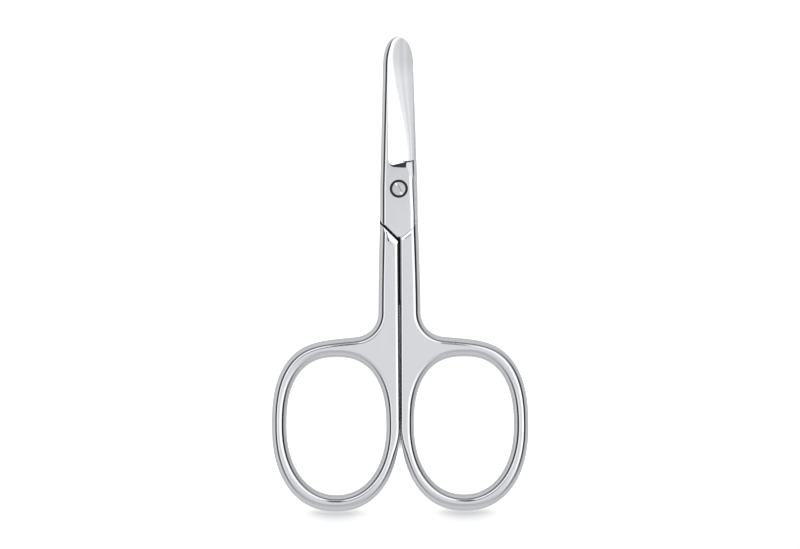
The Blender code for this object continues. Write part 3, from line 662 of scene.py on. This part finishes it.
def hollow_blank():
    """The grinding wheel's track, with the trough's own directions."""
    blank = Blank(TROUGH)
    along = np.linspace(0.0, 1.0, HOLLOW_STATIONS)
    stations = HEEL_Y + (TIP_Y + OVERRUN - HEEL_Y) * np.sin(along * math.pi / 2)
    across = hollow_columns()

    def trough(y, heel):
        left, edge = hollow_sides(y)
        right = edge + OVERRUN
        share = across * (right - left) / (edge - left)
        depth = HEEL_DEPTH + (TIP_DEPTH - HEEL_DEPTH) * (y - HEEL_Y) / (TIP_Y - HEEL_Y)
        deep = HOLLOW_LIP + depth * share + 4 * HOLLOW_SAG * share * (1 - share)
        x = left + (right - left) * across
        skew = HEEL_SKEW_SHARE * (x - left)
        corner = np.clip((x - left) / HEEL_CORNER_WIDTH, 0.0, 1.0)
        rise = HEEL_CORNER_RISE * (1 - np.sqrt(1 - (1 - corner) ** 2))
        return x, y + (skew + rise) * heel, deep

    x, foot_y, deep = trough(HEEL_Y, 1.0)
    turned = smooth_step((x - HEEL_TURN_X) / HEEL_TURN_WIDTH)
    ramp_angle = HEEL_RAMP_ANGLE + (HEEL_END_ANGLE - HEEL_RAMP_ANGLE) * turned
    ramp_y = foot_y - (deep + OVERRUN) / np.tan(ramp_angle)
    ramp_top = np.column_stack([x, ramp_y, np.full(len(x), PLATE_TOP_Z + OVERRUN)])
    rows = []
    for y, fade in zip(stations, 1 - smooth_step(along / HEEL_FADE_SHARE)):
        x, y_row, deep = trough(y, fade)
        rows.append(np.column_stack([x, y_row, PLATE_TOP_Z - deep]))
    grid = np.array(rows)
    slope = shine_slope(grid[:, :, 0], grid[:, :, 1])
    from_lip = grid[:, :, 0] - grid[:, :1, 0]
    slope = np.maximum(slope, SHINE_LIP * (1 - smooth_step(from_lip / SHINE_LIP_WIDTH)))
    normals = np.stack([np.sin(slope), np.zeros_like(slope), np.cos(slope)], axis=2)
    blank.points = [Vector(point) for point in grid.reshape(-1, 3)]
    blank.directions = [Vector(normal) for normal in normals.reshape(-1, 3)]
    return blank, grid, ramp_top


def hollow_cutter():
    """The trough closed above, with the heel's ramp and the plain sides marked as other surfaces."""
    blank, grid, ramp_top = hollow_blank()
    bm = bmesh.new()
    rows = [ramp_top, *grid]
    high_z = PLATE_TOP_Z + 2 * OVERRUN
    low = [[bm.verts.new(point) for point in row] for row in rows]
    high = [[bm.verts.new((point[0], point[1], high_z)) for point in row] for row in rows]

    def strip(first, second, surface):
        for corners in zip(first, first[1:], second[1:], second):
            face = bm.faces.new(corners)
            face.material_index = surface
            face.smooth = True

    for row in range(len(rows) - 1):
        strip(low[row], low[row + 1], TROUGH if row else RAMP)
        strip(high[row], high[row + 1], CUT)
    for end in (0, -1):
        strip([row[end] for row in low], [row[end] for row in high], CUT)
        strip(low[end], high[end], CUT)
    bmesh.ops.recalc_face_normals(bm, faces=bm.faces)
    stations, columns = grid.shape[:2]
    triangles = []
    for row in range(stations - 1):
        for first in range(row * columns, (row + 1) * columns - 1):
            triangles.append((first, first + 1, first + columns + 1))
            triangles.append((first, first + columns + 1, first + columns))
    blank.keep_triangles(triangles)
    return blank, new_object("hollow_grind", mesh_from(bm, "hollow_grind"))


def new_object(name, mesh, materials=()):
    for material in materials:
        mesh.materials.append(material)
    obj = bpy.data.objects.new(name, mesh)
    bpy.context.scene.collection.objects.link(obj)
    return obj


def placed(point, heading, tilt=0.0):
    """A place at a point, turned to a heading and tilted about it."""
    return Matrix.Translation(point) @ Matrix.Rotation(heading, 4, "Z") @ Matrix.Rotation(tilt, 4, "X")


def block(name, place, size, surface):
    """A block for a flat cut, with its faces marked as one kind of surface."""
    bm = bmesh.new()
    bmesh.ops.create_cube(bm, size=1.0)
    bm.transform(place @ Matrix.Diagonal((*size, 1.0)))
    return new_object(name, mesh_from(bm, name, surface))


def slab(name, point, heading, tilt, above):
    """A large block with one face through a point, along a heading, tilted about that heading."""
    lift = CUT_REACH / 2 if above else -CUT_REACH / 2
    place = placed(point, heading, tilt) @ Matrix.Translation((0, 0, lift))
    return block(name, place, [CUT_REACH] * 3, CUT)


def wall(name, point, heading, z_low, z_high, surface):
    """A block that takes everything to the left of a line, between two heights."""
    middle = (0, CUT_REACH / 2, (z_low + z_high) / 2)
    place = placed((*point, 0), heading) @ Matrix.Translation(middle)
    return block(name, place, (CUT_REACH, CUT_REACH, z_high - z_low), surface)


def prism(name, corners, z_low, z_high, surface):
    """An upright block over a ring of corners, between two heights."""
    bm = bmesh.new()
    rows = [[bm.verts.new((*corner, z)) for corner in corners] for z in (z_low, z_high)]
    for row in rows:
        bm.faces.new(row)
    for at in range(len(corners)):
        to = (at + 1) % len(corners)
        bm.faces.new((rows[0][at], rows[0][to], rows[1][to], rows[1][at]))
    bmesh.ops.recalc_face_normals(bm, faces=bm.faces)
    return new_object(name, mesh_from(bm, name, surface))


def heading_of(angle):
    return np.array([math.cos(angle), math.sin(angle)])


def handle_end_corners():
    """Left of the V step's line, and left of a steeper line that lets the rounded side run on past it."""
    along = heading_of(STEP_ANGLE)
    start = np.array([INNER_EDGE_X, STEP_Y]) + heading_of(STEP_ANGLE + math.pi / 2) * JOIN_OVERLAP
    bend = start + along * (SIDE_END_X - start[0]) / along[0]
    low_end = bend - along * CUT_REACH
    high_end = bend + heading_of(SIDE_END_ANGLE) * CUT_REACH
    return [low_end, bend, high_end, (-CUT_REACH, CUT_REACH)]


def facet_places():
    """The facet beside the heel, and the bevel that starts along a line across it."""
    facet = placed((FACET_X, FACET_Y, PLATE_TOP_Z), FACET_HEADING, FACET_TILT)
    return facet, facet @ placed((0, -BEVEL_REACH, 0), BEVEL_TURN, BEVEL_TILT)


def facet_block(name, place):
    """A block whose lower face starts at a line and falls to its right."""
    middle = ((FACET_RUN_UP - FACET_RUN_DOWN) / 2, -FACET_WIDTH / 2, FACET_WIDTH / 2)
    size = (FACET_RUN_UP + FACET_RUN_DOWN, FACET_WIDTH, FACET_WIDTH)
    return block(name, place @ Matrix.Translation(middle), size, CUT)


def groove(name, start, end, width):
    """A fine V-shaped groove along a straight stretch of a face."""
    start, end = Vector(start), Vector(end)
    run = end - start
    heading = math.atan2(run.y, run.x)
    pitch = -math.atan2(run.z, math.hypot(run.x, run.y))
    place = placed((start + end) / 2, heading) @ Matrix.Rotation(pitch, 4, "Y")
    side = width / math.sqrt(2)
    return block(name, place @ Matrix.Rotation(math.pi / 4, 4, "X"), (run.length, side, side), RAMP)


def boolean(obj, cutters, operation="DIFFERENCE"):
    """Cuts or joins by modifiers. Cutters without materials get the object's, so that their marks hold."""
    for cutter in cutters:
        if not cutter.data.materials:
            for material in obj.data.materials:
                cutter.data.materials.append(material)
        modifier = obj.modifiers.new(cutter.name, "BOOLEAN")
        modifier.operation = operation
        modifier.solver = "EXACT"
        modifier.object = cutter


def evaluated_mesh(obj, name):
    bpy.context.view_layer.update()
    graph = bpy.context.evaluated_depsgraph_get()
    mesh = bpy.data.meshes.new_from_object(obj.evaluated_get(graph))
    mesh.name = name
    return mesh


def remove(objects):
    for obj in objects:
        mesh = obj.data
        bpy.data.objects.remove(obj)
        bpy.data.meshes.remove(mesh)


def apply_cuts(obj, cutters):
    """Gives an object its cut mesh for good, and deletes the cutters."""
    boolean(obj, cutters)
    cut = evaluated_mesh(obj, obj.name)
    uncut = obj.data
    obj.modifiers.clear()
    obj.data = cut
    bpy.data.meshes.remove(uncut)
    remove(cutters)
    return cut


def turned_mesh(name, profile, surface):
    """A turned solid about the pivot axis, from radius and height pairs that run down its outer side."""
    bm = bmesh.new()
    around = [heading_of(2 * math.pi * step / TURN_STEPS) for step in range(TURN_STEPS)]
    rows = []
    for radius, height in profile:
        if radius == 0:
            rows.append([bm.verts.new((0, PIVOT_Y, height))] * TURN_STEPS)
        else:
            rows.append([bm.verts.new((radius * x, PIVOT_Y + radius * y, height)) for x, y in around])
    for upper, lower in zip(rows, rows[1:]):
        for at in range(TURN_STEPS):
            to = (at + 1) % TURN_STEPS
            bm.faces.new(list(dict.fromkeys((upper[at], lower[at], lower[to], upper[to]))))
    bmesh.ops.recalc_face_normals(bm, faces=bm.faces)
    return mesh_from(bm, name, surface, True)


def forging(materials):
    """The uncut forging as an object with its cuts as modifiers, its cutters, and the smooth surfaces."""
    handle_blank = Blank(HANDLE)
    rim = handle_outline()
    hole = hole_outline()
    width, height, hole_width, hole_height = handle_rounding(rim, hole)
    rim_low, rim_high = handle_blank.add_rings(*rounded_rings(rim, width, height, 0, THICKNESS, True))
    hole_rings = rounded_rings(hole, hole_width, hole_height, 0, THICKNESS, True)
    hole_low, hole_high = handle_blank.add_rings(*hole_rings)
    handle_mesh = handle_blank.mesh("handle_blank", [rim_low, hole_low], [rim_high, hole_high])
    handle = new_object("handle_blank", handle_mesh, materials)

    plate_blank = Blank(PLATE)
    outline = plate_outline()
    width, height = plate_rounding(outline)
    rings = rounded_rings(outline, width, height, MID_Z - LAP_GAP, PLATE_TOP_Z, False)
    plate_low, plate_high = plate_blank.add_rings(*rings)
    plate = new_object("blade_blank", plate_blank.mesh("blade_blank", [plate_low], [plate_high]), materials)

    v_tip = np.array([INNER_EDGE_X, V_TIP_Y])
    up_slope = np.array([-math.sin(V_ANGLE), math.cos(V_ANGLE)])
    low_z = -OVERRUN
    top_z = THICKNESS + OVERRUN
    back_slope = math.pi - V_ANGLE
    edge_point = (*(v_tip + [0, V_EDGE_CHAMFER / math.cos(V_ANGLE)]), PLATE_TOP_Z)
    shoulder = v_tip - up_slope * V_GAP
    chamfer_tilt = math.atan2(SHOULDER_CHAMFER_HEIGHT, SHOULDER_CHAMFER_WIDTH)
    chamfer_point = (*shoulder, SHOULDER_CHAMFER_HEIGHT)
    step_tilt = -math.atan2(PLATE_DROP, STEP_WIDTH)
    step_point = (INNER_EDGE_X, STEP_Y, PLATE_TOP_Z)
    facet, bevel = facet_places()
    trough_blank, trough = hollow_cutter()
    plate_cuts = [
        wall("v_end", v_tip, back_slope, low_z, top_z, CUT),
        slab("v_chamfer", edge_point, back_slope, -math.pi / 4, True),
    ]
    handle_cuts = [
        prism("handle_end", handle_end_corners(), low_z, top_z, CUT),
        slab("plate_step", step_point, STEP_ANGLE, step_tilt, True),
        slab("shoulder_chamfer", chamfer_point, V_ANGLE, chamfer_tilt, False),
    ]
    shared_cuts = [
        wall("lap", shoulder, V_ANGLE, low_z, LAP_Z, LAP),
        trough,
        facet_block("heel_facet", facet),
        facet_block("heel_bevel", bevel),
        *[groove(f"groove_{index}", *stretch) for index, stretch in enumerate(GROOVES)],
    ]
    boolean(plate, plate_cuts)
    boolean(handle, handle_cuts)
    boolean(handle, [plate], "UNION")
    boolean(handle, shared_cuts)
    cutters = [plate, *plate_cuts, *handle_cuts, *shared_cuts]
    return handle, cutters, {HANDLE: handle_blank, PLATE: plate_blank, TROUGH: trough_blank}


def keep_directions(mesh, sources):
    """Gives every corner its exact surface direction: its blank's where that is round, else its face's."""
    known = {}
    normals = [Vector((0, 0, 1))] * len(mesh.loops)
    for polygon in mesh.polygons:
        source = sources.get(polygon.material_index)
        for loop_index in polygon.loop_indices:
            if source is None:
                normals[loop_index] = polygon.normal.copy()
                continue
            vertex = mesh.loops[loop_index].vertex_index
            key = (vertex, polygon.material_index)
            if key not in known:
                known[key] = source.direction_at(mesh.vertices[vertex].co)
            direction = known[key]
            if direction.dot(polygon.normal) < 0:
                direction = -direction
            normals[loop_index] = direction
    mesh.shade_smooth()
    mesh.normals_split_custom_set(normals)


def half_turn_mesh(mesh):
    """Turns a mesh half a turn about the Y direction at mid thickness."""
    turn = Matrix.Translation((0, 0, MID_Z)) @ Matrix.Rotation(math.pi, 4, "Y")
    mesh.transform(turn @ Matrix.Translation((0, 0, -MID_Z)))


def finish_half(name, forged, sources, bore_profile, turned_over):
    """One half: the shared forging with its own bore, smoothly shaded."""
    half = new_object(name, forged.copy())
    mesh = apply_cuts(half, [new_object("bore", turned_mesh("bore", bore_profile, BORE))])
    keep_directions(mesh, sources)
    if turned_over:
        half_turn_mesh(mesh)
    return half


def bore_profiles():
    """The upper half's stepped bore and the lower half's, both as the forging lies before its turn."""
    floor_z = HEAD_TOP_Z - HEAD_HEIGHT - HEAD_SEAT_GAP
    neck_hole = NECK_RADIUS + RUNNING_CLEARANCE
    thread_hole = THREAD_RADIUS + RUNNING_CLEARANCE
    top_z = THICKNESS + OVERRUN
    upper = [
        (0, top_z),
        (COUNTERBORE_RADIUS, top_z),
        (COUNTERBORE_RADIUS, floor_z),
        (neck_hole, floor_z),
        (neck_hole, MID_Z),
        (0, MID_Z),
    ]
    lower = [(0, top_z), (thread_hole, top_z), (thread_hole, MID_Z), (0, MID_Z)]
    return upper, lower


def screw_profile():
    """Head with a slight crown and a rounded rim, plain neck, and a plain end of the thread's size with a
    chamfer.
    """
    head_low = HEAD_TOP_Z - HEAD_HEIGHT
    neck_low = MID_Z - LAP_GAP / 2 + NECK_RUN_OUT
    end_z = PLATE_DROP + HEAD_BELOW_FACE
    flat_radius = HEAD_RADIUS - HEAD_CHAMFER
    crown = []
    for step in range(CURVE_STEPS):
        share = step / CURVE_STEPS
        crown.append((flat_radius * share, HEAD_TOP_Z - HEAD_CROWN * share * share))
    rim = []
    for step in range(ROUND_ROWS + 1):
        turn = step * math.pi / 2 / ROUND_ROWS
        radius = flat_radius + HEAD_CHAMFER * math.sin(turn)
        rim.append((radius, HEAD_TOP_Z - HEAD_CROWN - HEAD_CHAMFER * (1 - math.cos(turn))))
    tail = [
        (HEAD_RADIUS, head_low),
        (NECK_RADIUS, head_low),
        (NECK_RADIUS, neck_low),
        (THREAD_RADIUS, neck_low),
        (THREAD_RADIUS, end_z + THREAD_CHAMFER),
        (THREAD_RADIUS - THREAD_CHAMFER, end_z),
        (0, end_z),
    ]
    return crown + rim + tail


def saw(name, radius, width, depth, shift, surface):
    """A thin round saw whose rim cuts across the screw's head, shifted sideways from the pivot's middle."""
    bm = bmesh.new()
    bmesh.ops.create_cone(
        bm, cap_ends=True, segments=4 * TURN_STEPS, radius1=radius, radius2=radius, depth=width
    )
    saw_z = HEAD_TOP_Z - depth + radius
    place = placed((0, PIVOT_Y, saw_z), SLOT_ANGLE) @ Matrix.Translation((shift, 0, 0))
    bm.transform(place @ Matrix.Rotation(math.pi / 2, 4, "Y"))
    return new_object(name, mesh_from(bm, name, surface))


def build_screw(materials):
    """The slotted screw, with a near-black score beside its slot as painted shade along the slot's wall."""
    screw = new_object("screw_piece", turned_mesh("screw_piece", screw_profile(), HEAD), materials)
    beside = (SLOT_WIDTH + SCORE_WIDTH) / 2
    slot_saw = saw("slot_saw", SAW_RADIUS, SLOT_WIDTH, SLOT_DEPTH, 0.0, SLOT)
    score_saw = saw("score_saw", SCORE_RADIUS, SCORE_WIDTH, SCORE_DEPTH, beside, SCORE)
    cut = apply_cuts(screw, [slot_saw, score_saw])
    cut.shade_smooth()
    cut.set_sharp_from_angle(angle=SCREW_SHARP_ANGLE)
    return screw


class Nodes:
    """Short calls for building a node tree."""

    def __init__(self, tree):
        self.tree = tree
        tree.nodes.clear()

    def add(self, kind, inputs=None, **settings):
        node = self.tree.nodes.new(kind)
        for name, value in settings.items():
            setattr(node, name, value)
        for name, value in (inputs or {}).items():
            if isinstance(value, bpy.types.NodeSocket):
                self.tree.links.new(value, node.inputs[name])
            else:
                node.inputs[name].default_value = value
        return node

    def math(self, operation, first, second=0.0):
        return self.add("ShaderNodeMath", {0: first, 1: second}, operation=operation).outputs[0]

    def plus(self, first, second):
        return self.math("ADD", first, second)

    def minus(self, first, second):
        return self.math("SUBTRACT", first, second)

    def times(self, first, second):
        return self.math("MULTIPLY", first, second)

    def over(self, first, second):
        return self.math("DIVIDE", first, second)

    def place(self, kind="Object"):
        """X, Y and Z of the object's own coordinates in metres, or of the world's direction."""
        whole = self.add("ShaderNodeTexCoord").outputs[kind]
        return self.add("ShaderNodeSeparateXYZ", {"Vector": whole}).outputs

    def stretched(self, stretch, turn=0.0):
        """The object's own coordinates in metres, stretched so that noise becomes streaks."""
        place = self.add("ShaderNodeTexCoord").outputs["Object"]
        inputs = {"Vector": place, "Rotation": (0, 0, turn), "Scale": stretch}
        return self.add("ShaderNodeMapping", inputs).outputs[0]

    def noise(self, vector, scale, detail=2.0):
        inputs = {"Vector": vector, "Scale": scale, "Detail": detail}
        return self.add("ShaderNodeTexNoise", inputs).outputs["Fac"]

    def ranged(self, value, low, high):
        """A noise's usual values spread over a range."""
        inputs = {"Value": value, "From Min": NOISE_LOW, "From Max": NOISE_HIGH}
        inputs.update({"To Min": low, "To Max": high})
        return self.add("ShaderNodeMapRange", inputs).outputs["Result"]

    def fade(self, value, outside, inside, low=0.0, high=1.0):
        """One level outside and another inside, smoothly."""
        inputs = {"Value": value, "From Min": outside, "From Max": inside, "To Min": low, "To Max": high}
        return self.add("ShaderNodeMapRange", inputs, interpolation_type="SMOOTHSTEP").outputs["Result"]

    def mix(self, share, first, second):
        inputs = {"Factor": share, 6: first, 7: second}
        return self.add("ShaderNodeMix", inputs, data_type="RGBA").outputs[2]

    def mix_colours(self, first, second):
        inputs = {"Factor": 1.0, 6: first, 7: second}
        return self.add("ShaderNodeMix", inputs, data_type="RGBA", blend_type="MULTIPLY").outputs[2]

    def ramp(self, value, stops, brightest=1.0):
        """A grey ramp through the stops, divided by the brightest level."""
        node = self.add("ShaderNodeValToRGB", {"Fac": value})
        points = node.color_ramp.elements
        while len(points) < len(stops):
            points.new(1.0)
        for point, (place, level) in zip(points, stops):
            point.position = place
            point.color = (*[level / brightest] * 3, 1.0)
        return node.outputs["Color"]

    def bump(self, height, distance, strength=1.0, normal=None):
        inputs = {"Height": height, "Distance": distance, "Strength": strength}
        if normal is not None:
            inputs["Normal"] = normal
        return self.add("ShaderNodeBump", inputs).outputs["Normal"]


def new_material(name):
    material = bpy.data.materials.new(name)
    material.use_nodes = True
    return material, Nodes(material.node_tree)


def steel(name, shade=None):
    """Bare steel with its own finish: a roughness that wanders, fine streaks one way, and faint waves."""
    colour, rough, stretch, turn, scratch_depth, wave_depth = FINISHES[name]
    material, nodes = new_material(name)
    wide = nodes.stretched((1.0, 1.0, 1.0))
    streaks = nodes.noise(nodes.stretched(stretch, turn), 1.0, STREAK_DETAIL)
    wander = nodes.noise(wide, WANDER_SCALE, STREAK_DETAIL)
    roughness = nodes.ranged(nodes.times(nodes.plus(streaks, wander), 0.5), *rough)
    tint_low = tuple(channel * WANDER_DARKEST for channel in colour)
    tint = nodes.mix(wander, (*tint_low, 1.0), (*colour, 1.0))
    if shade is not None:
        tint, roughness = shade(nodes, tint, roughness)
    waves = nodes.bump(nodes.noise(wide, WAVE_SCALE, WAVE_DETAIL), wave_depth)
    normal = nodes.bump(streaks, scratch_depth, 1.0, waves)
    shader = nodes.add(
        "ShaderNodeBsdfPrincipled",
        {"Base Color": tint, "Metallic": 1.0, "Roughness": roughness, "Normal": normal},
    )
    nodes.add("ShaderNodeOutputMaterial", {"Surface": shader.outputs[0]})
    return material


def forging_place(nodes):
    """X and Y as on the forging before its turn, with the lower half's mirrored back, and X as it is."""
    x, y, z = nodes.place()
    side = nodes.math("SIGN", nodes.minus(z, MID_Z))
    return nodes.times(x, side), y, x


def shade_painted_in(nodes, share, tint, roughness, shade_tint, rougher):
    """Mixes towards the colour of painted shade, with more roughness, by a share."""
    return nodes.mix(share, tint, shade_tint), nodes.plus(roughness, nodes.times(share, rougher))


def slit_painted_shade(nodes, tint, roughness):
    """Painted shade: the steel beside the narrow slit between the handles is darkened and made rougher."""
    _, y, x = forging_place(nodes)
    upper = nodes.fade(y, *SLIT_UPPER_Y)
    far = nodes.plus(nodes.math("ABSOLUTE", x), nodes.times(upper, SLIT_UPPER_NARROWING))
    along = nodes.times(nodes.fade(y, *SLIT_TOP_Y), nodes.fade(y, *SLIT_FOOT_Y))
    slit = nodes.times(nodes.fade(far, *SLIT_EDGE), along)
    return shade_painted_in(nodes, slit, tint, roughness, SLIT_SHADE_TINT, SLIT_ROUGHER)


def gap_painted_shade(nodes, tint, roughness):
    """Painted shade on the floor of the gap along the V shoulder, darker and rougher near it."""
    x, y, _ = forging_place(nodes)
    tip_x = INNER_EDGE_X + V_GAP * math.sin(V_ANGLE)
    tip_y = V_TIP_Y - V_GAP * math.cos(V_ANGLE)
    across = nodes.times(nodes.minus(x, tip_x), -math.sin(V_ANGLE))
    along = nodes.times(nodes.minus(y, tip_y), math.cos(V_ANGLE))
    gap_shade_share = nodes.fade(nodes.plus(across, along), *GAP_SHADE_EDGE)
    return shade_painted_in(nodes, gap_shade_share, tint, roughness, GAP_SHADE_TINT, GAP_SHADE_ROUGHER)


def streaks_and_painted_sheen(nodes, tint, roughness):
    """Grinding streaks and painted reflection bands, fanned from the bright part's border to the cutting
    edge.
    """
    x, y, _ = forging_place(nodes)
    border = nodes.fade(y, SHINE_TIP_Y, SHINE_HEEL_Y, SHINE_TIP_X, SHINE_HEEL_X)
    share = nodes.over(nodes.minus(x, border), nodes.minus(EDGE_HEEL_REACH, border))
    wander = nodes.noise(nodes.stretched(STREAK_STRETCH, GRIND_TURN), 1.0)
    share = nodes.plus(share, nodes.ranged(wander, -STREAK_WANDER, STREAK_WANDER))
    tint = nodes.mix_colours(tint, nodes.ramp(share, STREAK_AND_SHEEN_STOPS))
    darker_at_tip = nodes.mix_colours(tint, TIP_DARKENING)
    return nodes.mix(nodes.fade(y, TIP_DARKENING_START_Y, TIP_DARKENING_FULL_Y), tint, darker_at_tip), roughness


def half_materials():
    """One material for each kind of surface, in the order of their numbers. The plate's is the handle's."""
    polish = steel("half_polish", slit_painted_shade)
    trough = steel("hollow_ground", streaks_and_painted_sheen)
    cut = steel("edge_cut", slit_painted_shade)
    lap = steel("lap_ground", gap_painted_shade)
    return [polish, polish, trough, cut, lap, steel("bore_painted_shade"), steel("ramp_painted_shade")]


def slot_painted_highlight(nodes, tint, roughness):
    """A painted highlight: the slot's colour is brightened towards both of its ends."""
    x, y, _ = nodes.place()
    y = nodes.minus(y, PIVOT_Y)
    squares = nodes.plus(nodes.times(x, x), nodes.times(y, y))
    highlight_share = nodes.fade(nodes.math("SQRT", squares), SLOT_HIGHLIGHT_START_REACH, SLOT_HIGHLIGHT_FULL_REACH)
    return nodes.mix(highlight_share, tint, SLOT_HIGHLIGHT_TINT), roughness


def merge_surfaces(mesh):
    """The plate's polish is the handle's, so both use one place in the mesh's list of materials."""
    index = np.zeros(len(mesh.polygons), dtype=np.int32)
    mesh.polygons.foreach_get("material_index", index)
    index[index == PLATE] = HANDLE
    index[index > PLATE] -= 1
    mesh.materials.pop(index=PLATE)
    mesh.polygons.foreach_set("material_index", index)


def darken(nodes, total, tilt, heading, edge, tilts, darkness):
    """Takes light away around one heading and between two tilts."""
    start, full, still_full, end = [each / FULL_TILT for each in tilts]
    shape = nodes.times(nodes.fade(heading, *edge), nodes.fade(tilt, start, full))
    shape = nodes.times(shape, nodes.fade(tilt, end, still_full))
    return nodes.times(total, nodes.minus(1.0, nodes.times(shape, darkness)))


def sky():
    """A plain studio as a mirror ball shows it: one brightness ramp by surface tilt for each side."""
    world = bpy.data.worlds.new("studio")
    bpy.context.scene.world = world
    world.use_nodes = True
    nodes = Nodes(world.node_tree)
    x, y, z = nodes.place("Generated")
    tilt = nodes.over(nodes.math("ARCCOSINE", z), math.pi)
    left_right = ((x, -1.0, LEFT_STOPS), (x, 1.0, RIGHT_STOPS))
    sides = (*left_right, (y, 1.0, FAR_STOPS), (y, -NEAR_SPREAD, NEAR_STOPS))
    parts = []
    for axis, sign, _ in sides:
        part = nodes.math("MAXIMUM", nodes.times(axis, sign), 0.0)
        parts.append(nodes.times(part, part))
    flat = nodes.plus(nodes.plus(parts[0], parts[1]), nodes.plus(parts[2], parts[3]))
    flat = nodes.math("MAXIMUM", flat, POLE_GUARD)
    total = None
    for part, (_, _, stops) in zip(parts, sides):
        share = nodes.over(part, flat)
        light = nodes.ramp(tilt, [(angle / FULL_TILT, level) for angle, level in stops], SKY_BRIGHTEST)
        level = nodes.times(nodes.times(light, share), SKY_BRIGHTEST)
        total = level if total is None else nodes.plus(total, level)
    reach = nodes.math("SQRT", flat)
    total = darken(nodes, total, tilt, nodes.over(y, reach), *BOOM)
    turned = nodes.minus(nodes.times(y, math.cos(FLAG_TURN)), nodes.times(x, math.sin(FLAG_TURN)))
    total = darken(nodes, total, tilt, nodes.over(turned, reach), *FLAG)
    lit = nodes.add("ShaderNodeBackground", {"Color": SKY_TINT, "Strength": total})
    nodes.add("ShaderNodeOutputWorld", {"Surface": lit.outputs[0]})


def floor():
    """A pale floor just under the scissors, with painted shade in its cracks and a glow dimmed near the
    bows.
    """
    bm = bmesh.new()
    bmesh.ops.create_grid(bm, x_segments=1, y_segments=1, size=FLOOR_REACH)
    material, nodes = new_material("floor")
    obj = new_object("floor", mesh_from(bm, "floor"), [material])
    obj.location = (0, 0, -FLOOR_DROP)
    above = nodes.add("ShaderNodeAmbientOcclusion", {"Distance": CRACK_REACH}, samples=CRACK_SAMPLES)
    x, y, _ = nodes.place()
    slit = nodes.times(nodes.fade(nodes.math("ABSOLUTE", x), *SLIT_FLOOR_EDGE), nodes.fade(y, *SLIT_UPPER_Y))
    openness = nodes.minus(above.outputs["AO"], nodes.times(slit, SLIT_FLOOR_SHADE))
    open_air = nodes.fade(openness, *CRACK_OPENNESS)
    path = nodes.add("ShaderNodeLightPath").outputs
    tint = nodes.mix(path["Is Glossy Ray"], FLOOR_TINT, FLOOR_MIRRORED_TINT)
    matt = nodes.add("ShaderNodeBsdfDiffuse", {"Color": nodes.mix(open_air, CRACK_SHADE_TINT, tint)})
    bright = nodes.fade(y, FLOOR_DIM_Y, FLOOR_BRIGHT_Y)
    lift = nodes.plus(nodes.times(bright, FLOOR_LIFT), FLOOR_GLOW)
    lift = nodes.times(lift, path["Is Camera Ray"])
    lift = nodes.plus(lift, nodes.times(path["Is Glossy Ray"], FLOOR_MIRRORED))
    glow = nodes.add("ShaderNodeEmission", {"Color": WHITE, "Strength": nodes.times(lift, open_air)})
    total = nodes.add("ShaderNodeAddShader", {0: matt.outputs[0], 1: glow.outputs[0]})
    nodes.add("ShaderNodeOutputMaterial", {"Surface": total.outputs[0]})


def lamp():
    """A soft light from beyond the tips, which polished steel doesn't mirror."""
    data = bpy.data.lights.new("lamp", "AREA")
    data.shape = "DISK"
    data.size = LAMP_SIZE
    data.energy = LAMP_POWER
    obj = bpy.data.objects.new("lamp", data)
    bpy.context.scene.collection.objects.link(obj)
    obj.location = LAMP_PLACE
    obj.rotation_euler = (-Vector(LAMP_PLACE)).to_track_quat("-Z", "Y").to_euler()
    obj.visible_glossy = False


def camera():
    """Straight down from far away, with the photograph's slight lean."""
    data = bpy.data.cameras.new("camera")
    cam = bpy.data.objects.new("camera", data)
    bpy.context.scene.collection.objects.link(cam)
    data.sensor_width = SENSOR_WIDTH
    data.lens = data.sensor_width * CAMERA_DISTANCE * PX_PER_METRE / IMAGE_WIDTH_PX
    data.clip_start = CLIP_START
    data.clip_end = CLIP_END
    x = (IMAGE_CENTRE_PX[0] - AXIS_AT_CENTRE_PX) / PX_PER_METRE
    y = (ZERO_Y_PX - IMAGE_CENTRE_PX[1]) / PX_PER_METRE
    cam.location = (x, y, MID_Z + CAMERA_DISTANCE)
    cam.rotation_euler = (0, 0, -AXIS_LEAN)
    bpy.context.scene.camera = cam


def main():
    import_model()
    scene = bpy.context.scene
    scene.view_settings.view_transform = "Standard"
    camera()
    sky()
    floor()
    lamp()

    handle, cutters, sources = forging(half_materials())
    forged = evaluated_mesh(handle, "forging")
    remove([*cutters, handle])
    upper_bore, lower_bore = bore_profiles()
    for name, node, bore, turned_over in (
        ("upper_half_piece", "upper_half", upper_bore, False),
        ("lower_half_piece", "lower_half", lower_bore, True),
    ):
        half = finish_half(name, forged, sources, bore, turned_over)
        merge_surfaces(half.data)
        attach(half, node)
        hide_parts(node)
    bpy.data.meshes.remove(forged)

    screw = build_screw([steel("screw_brushed"), steel("screw_slot", slot_painted_highlight), steel("screw_score")])
    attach(screw, "lower_half")
    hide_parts("pivot_screw")


main()
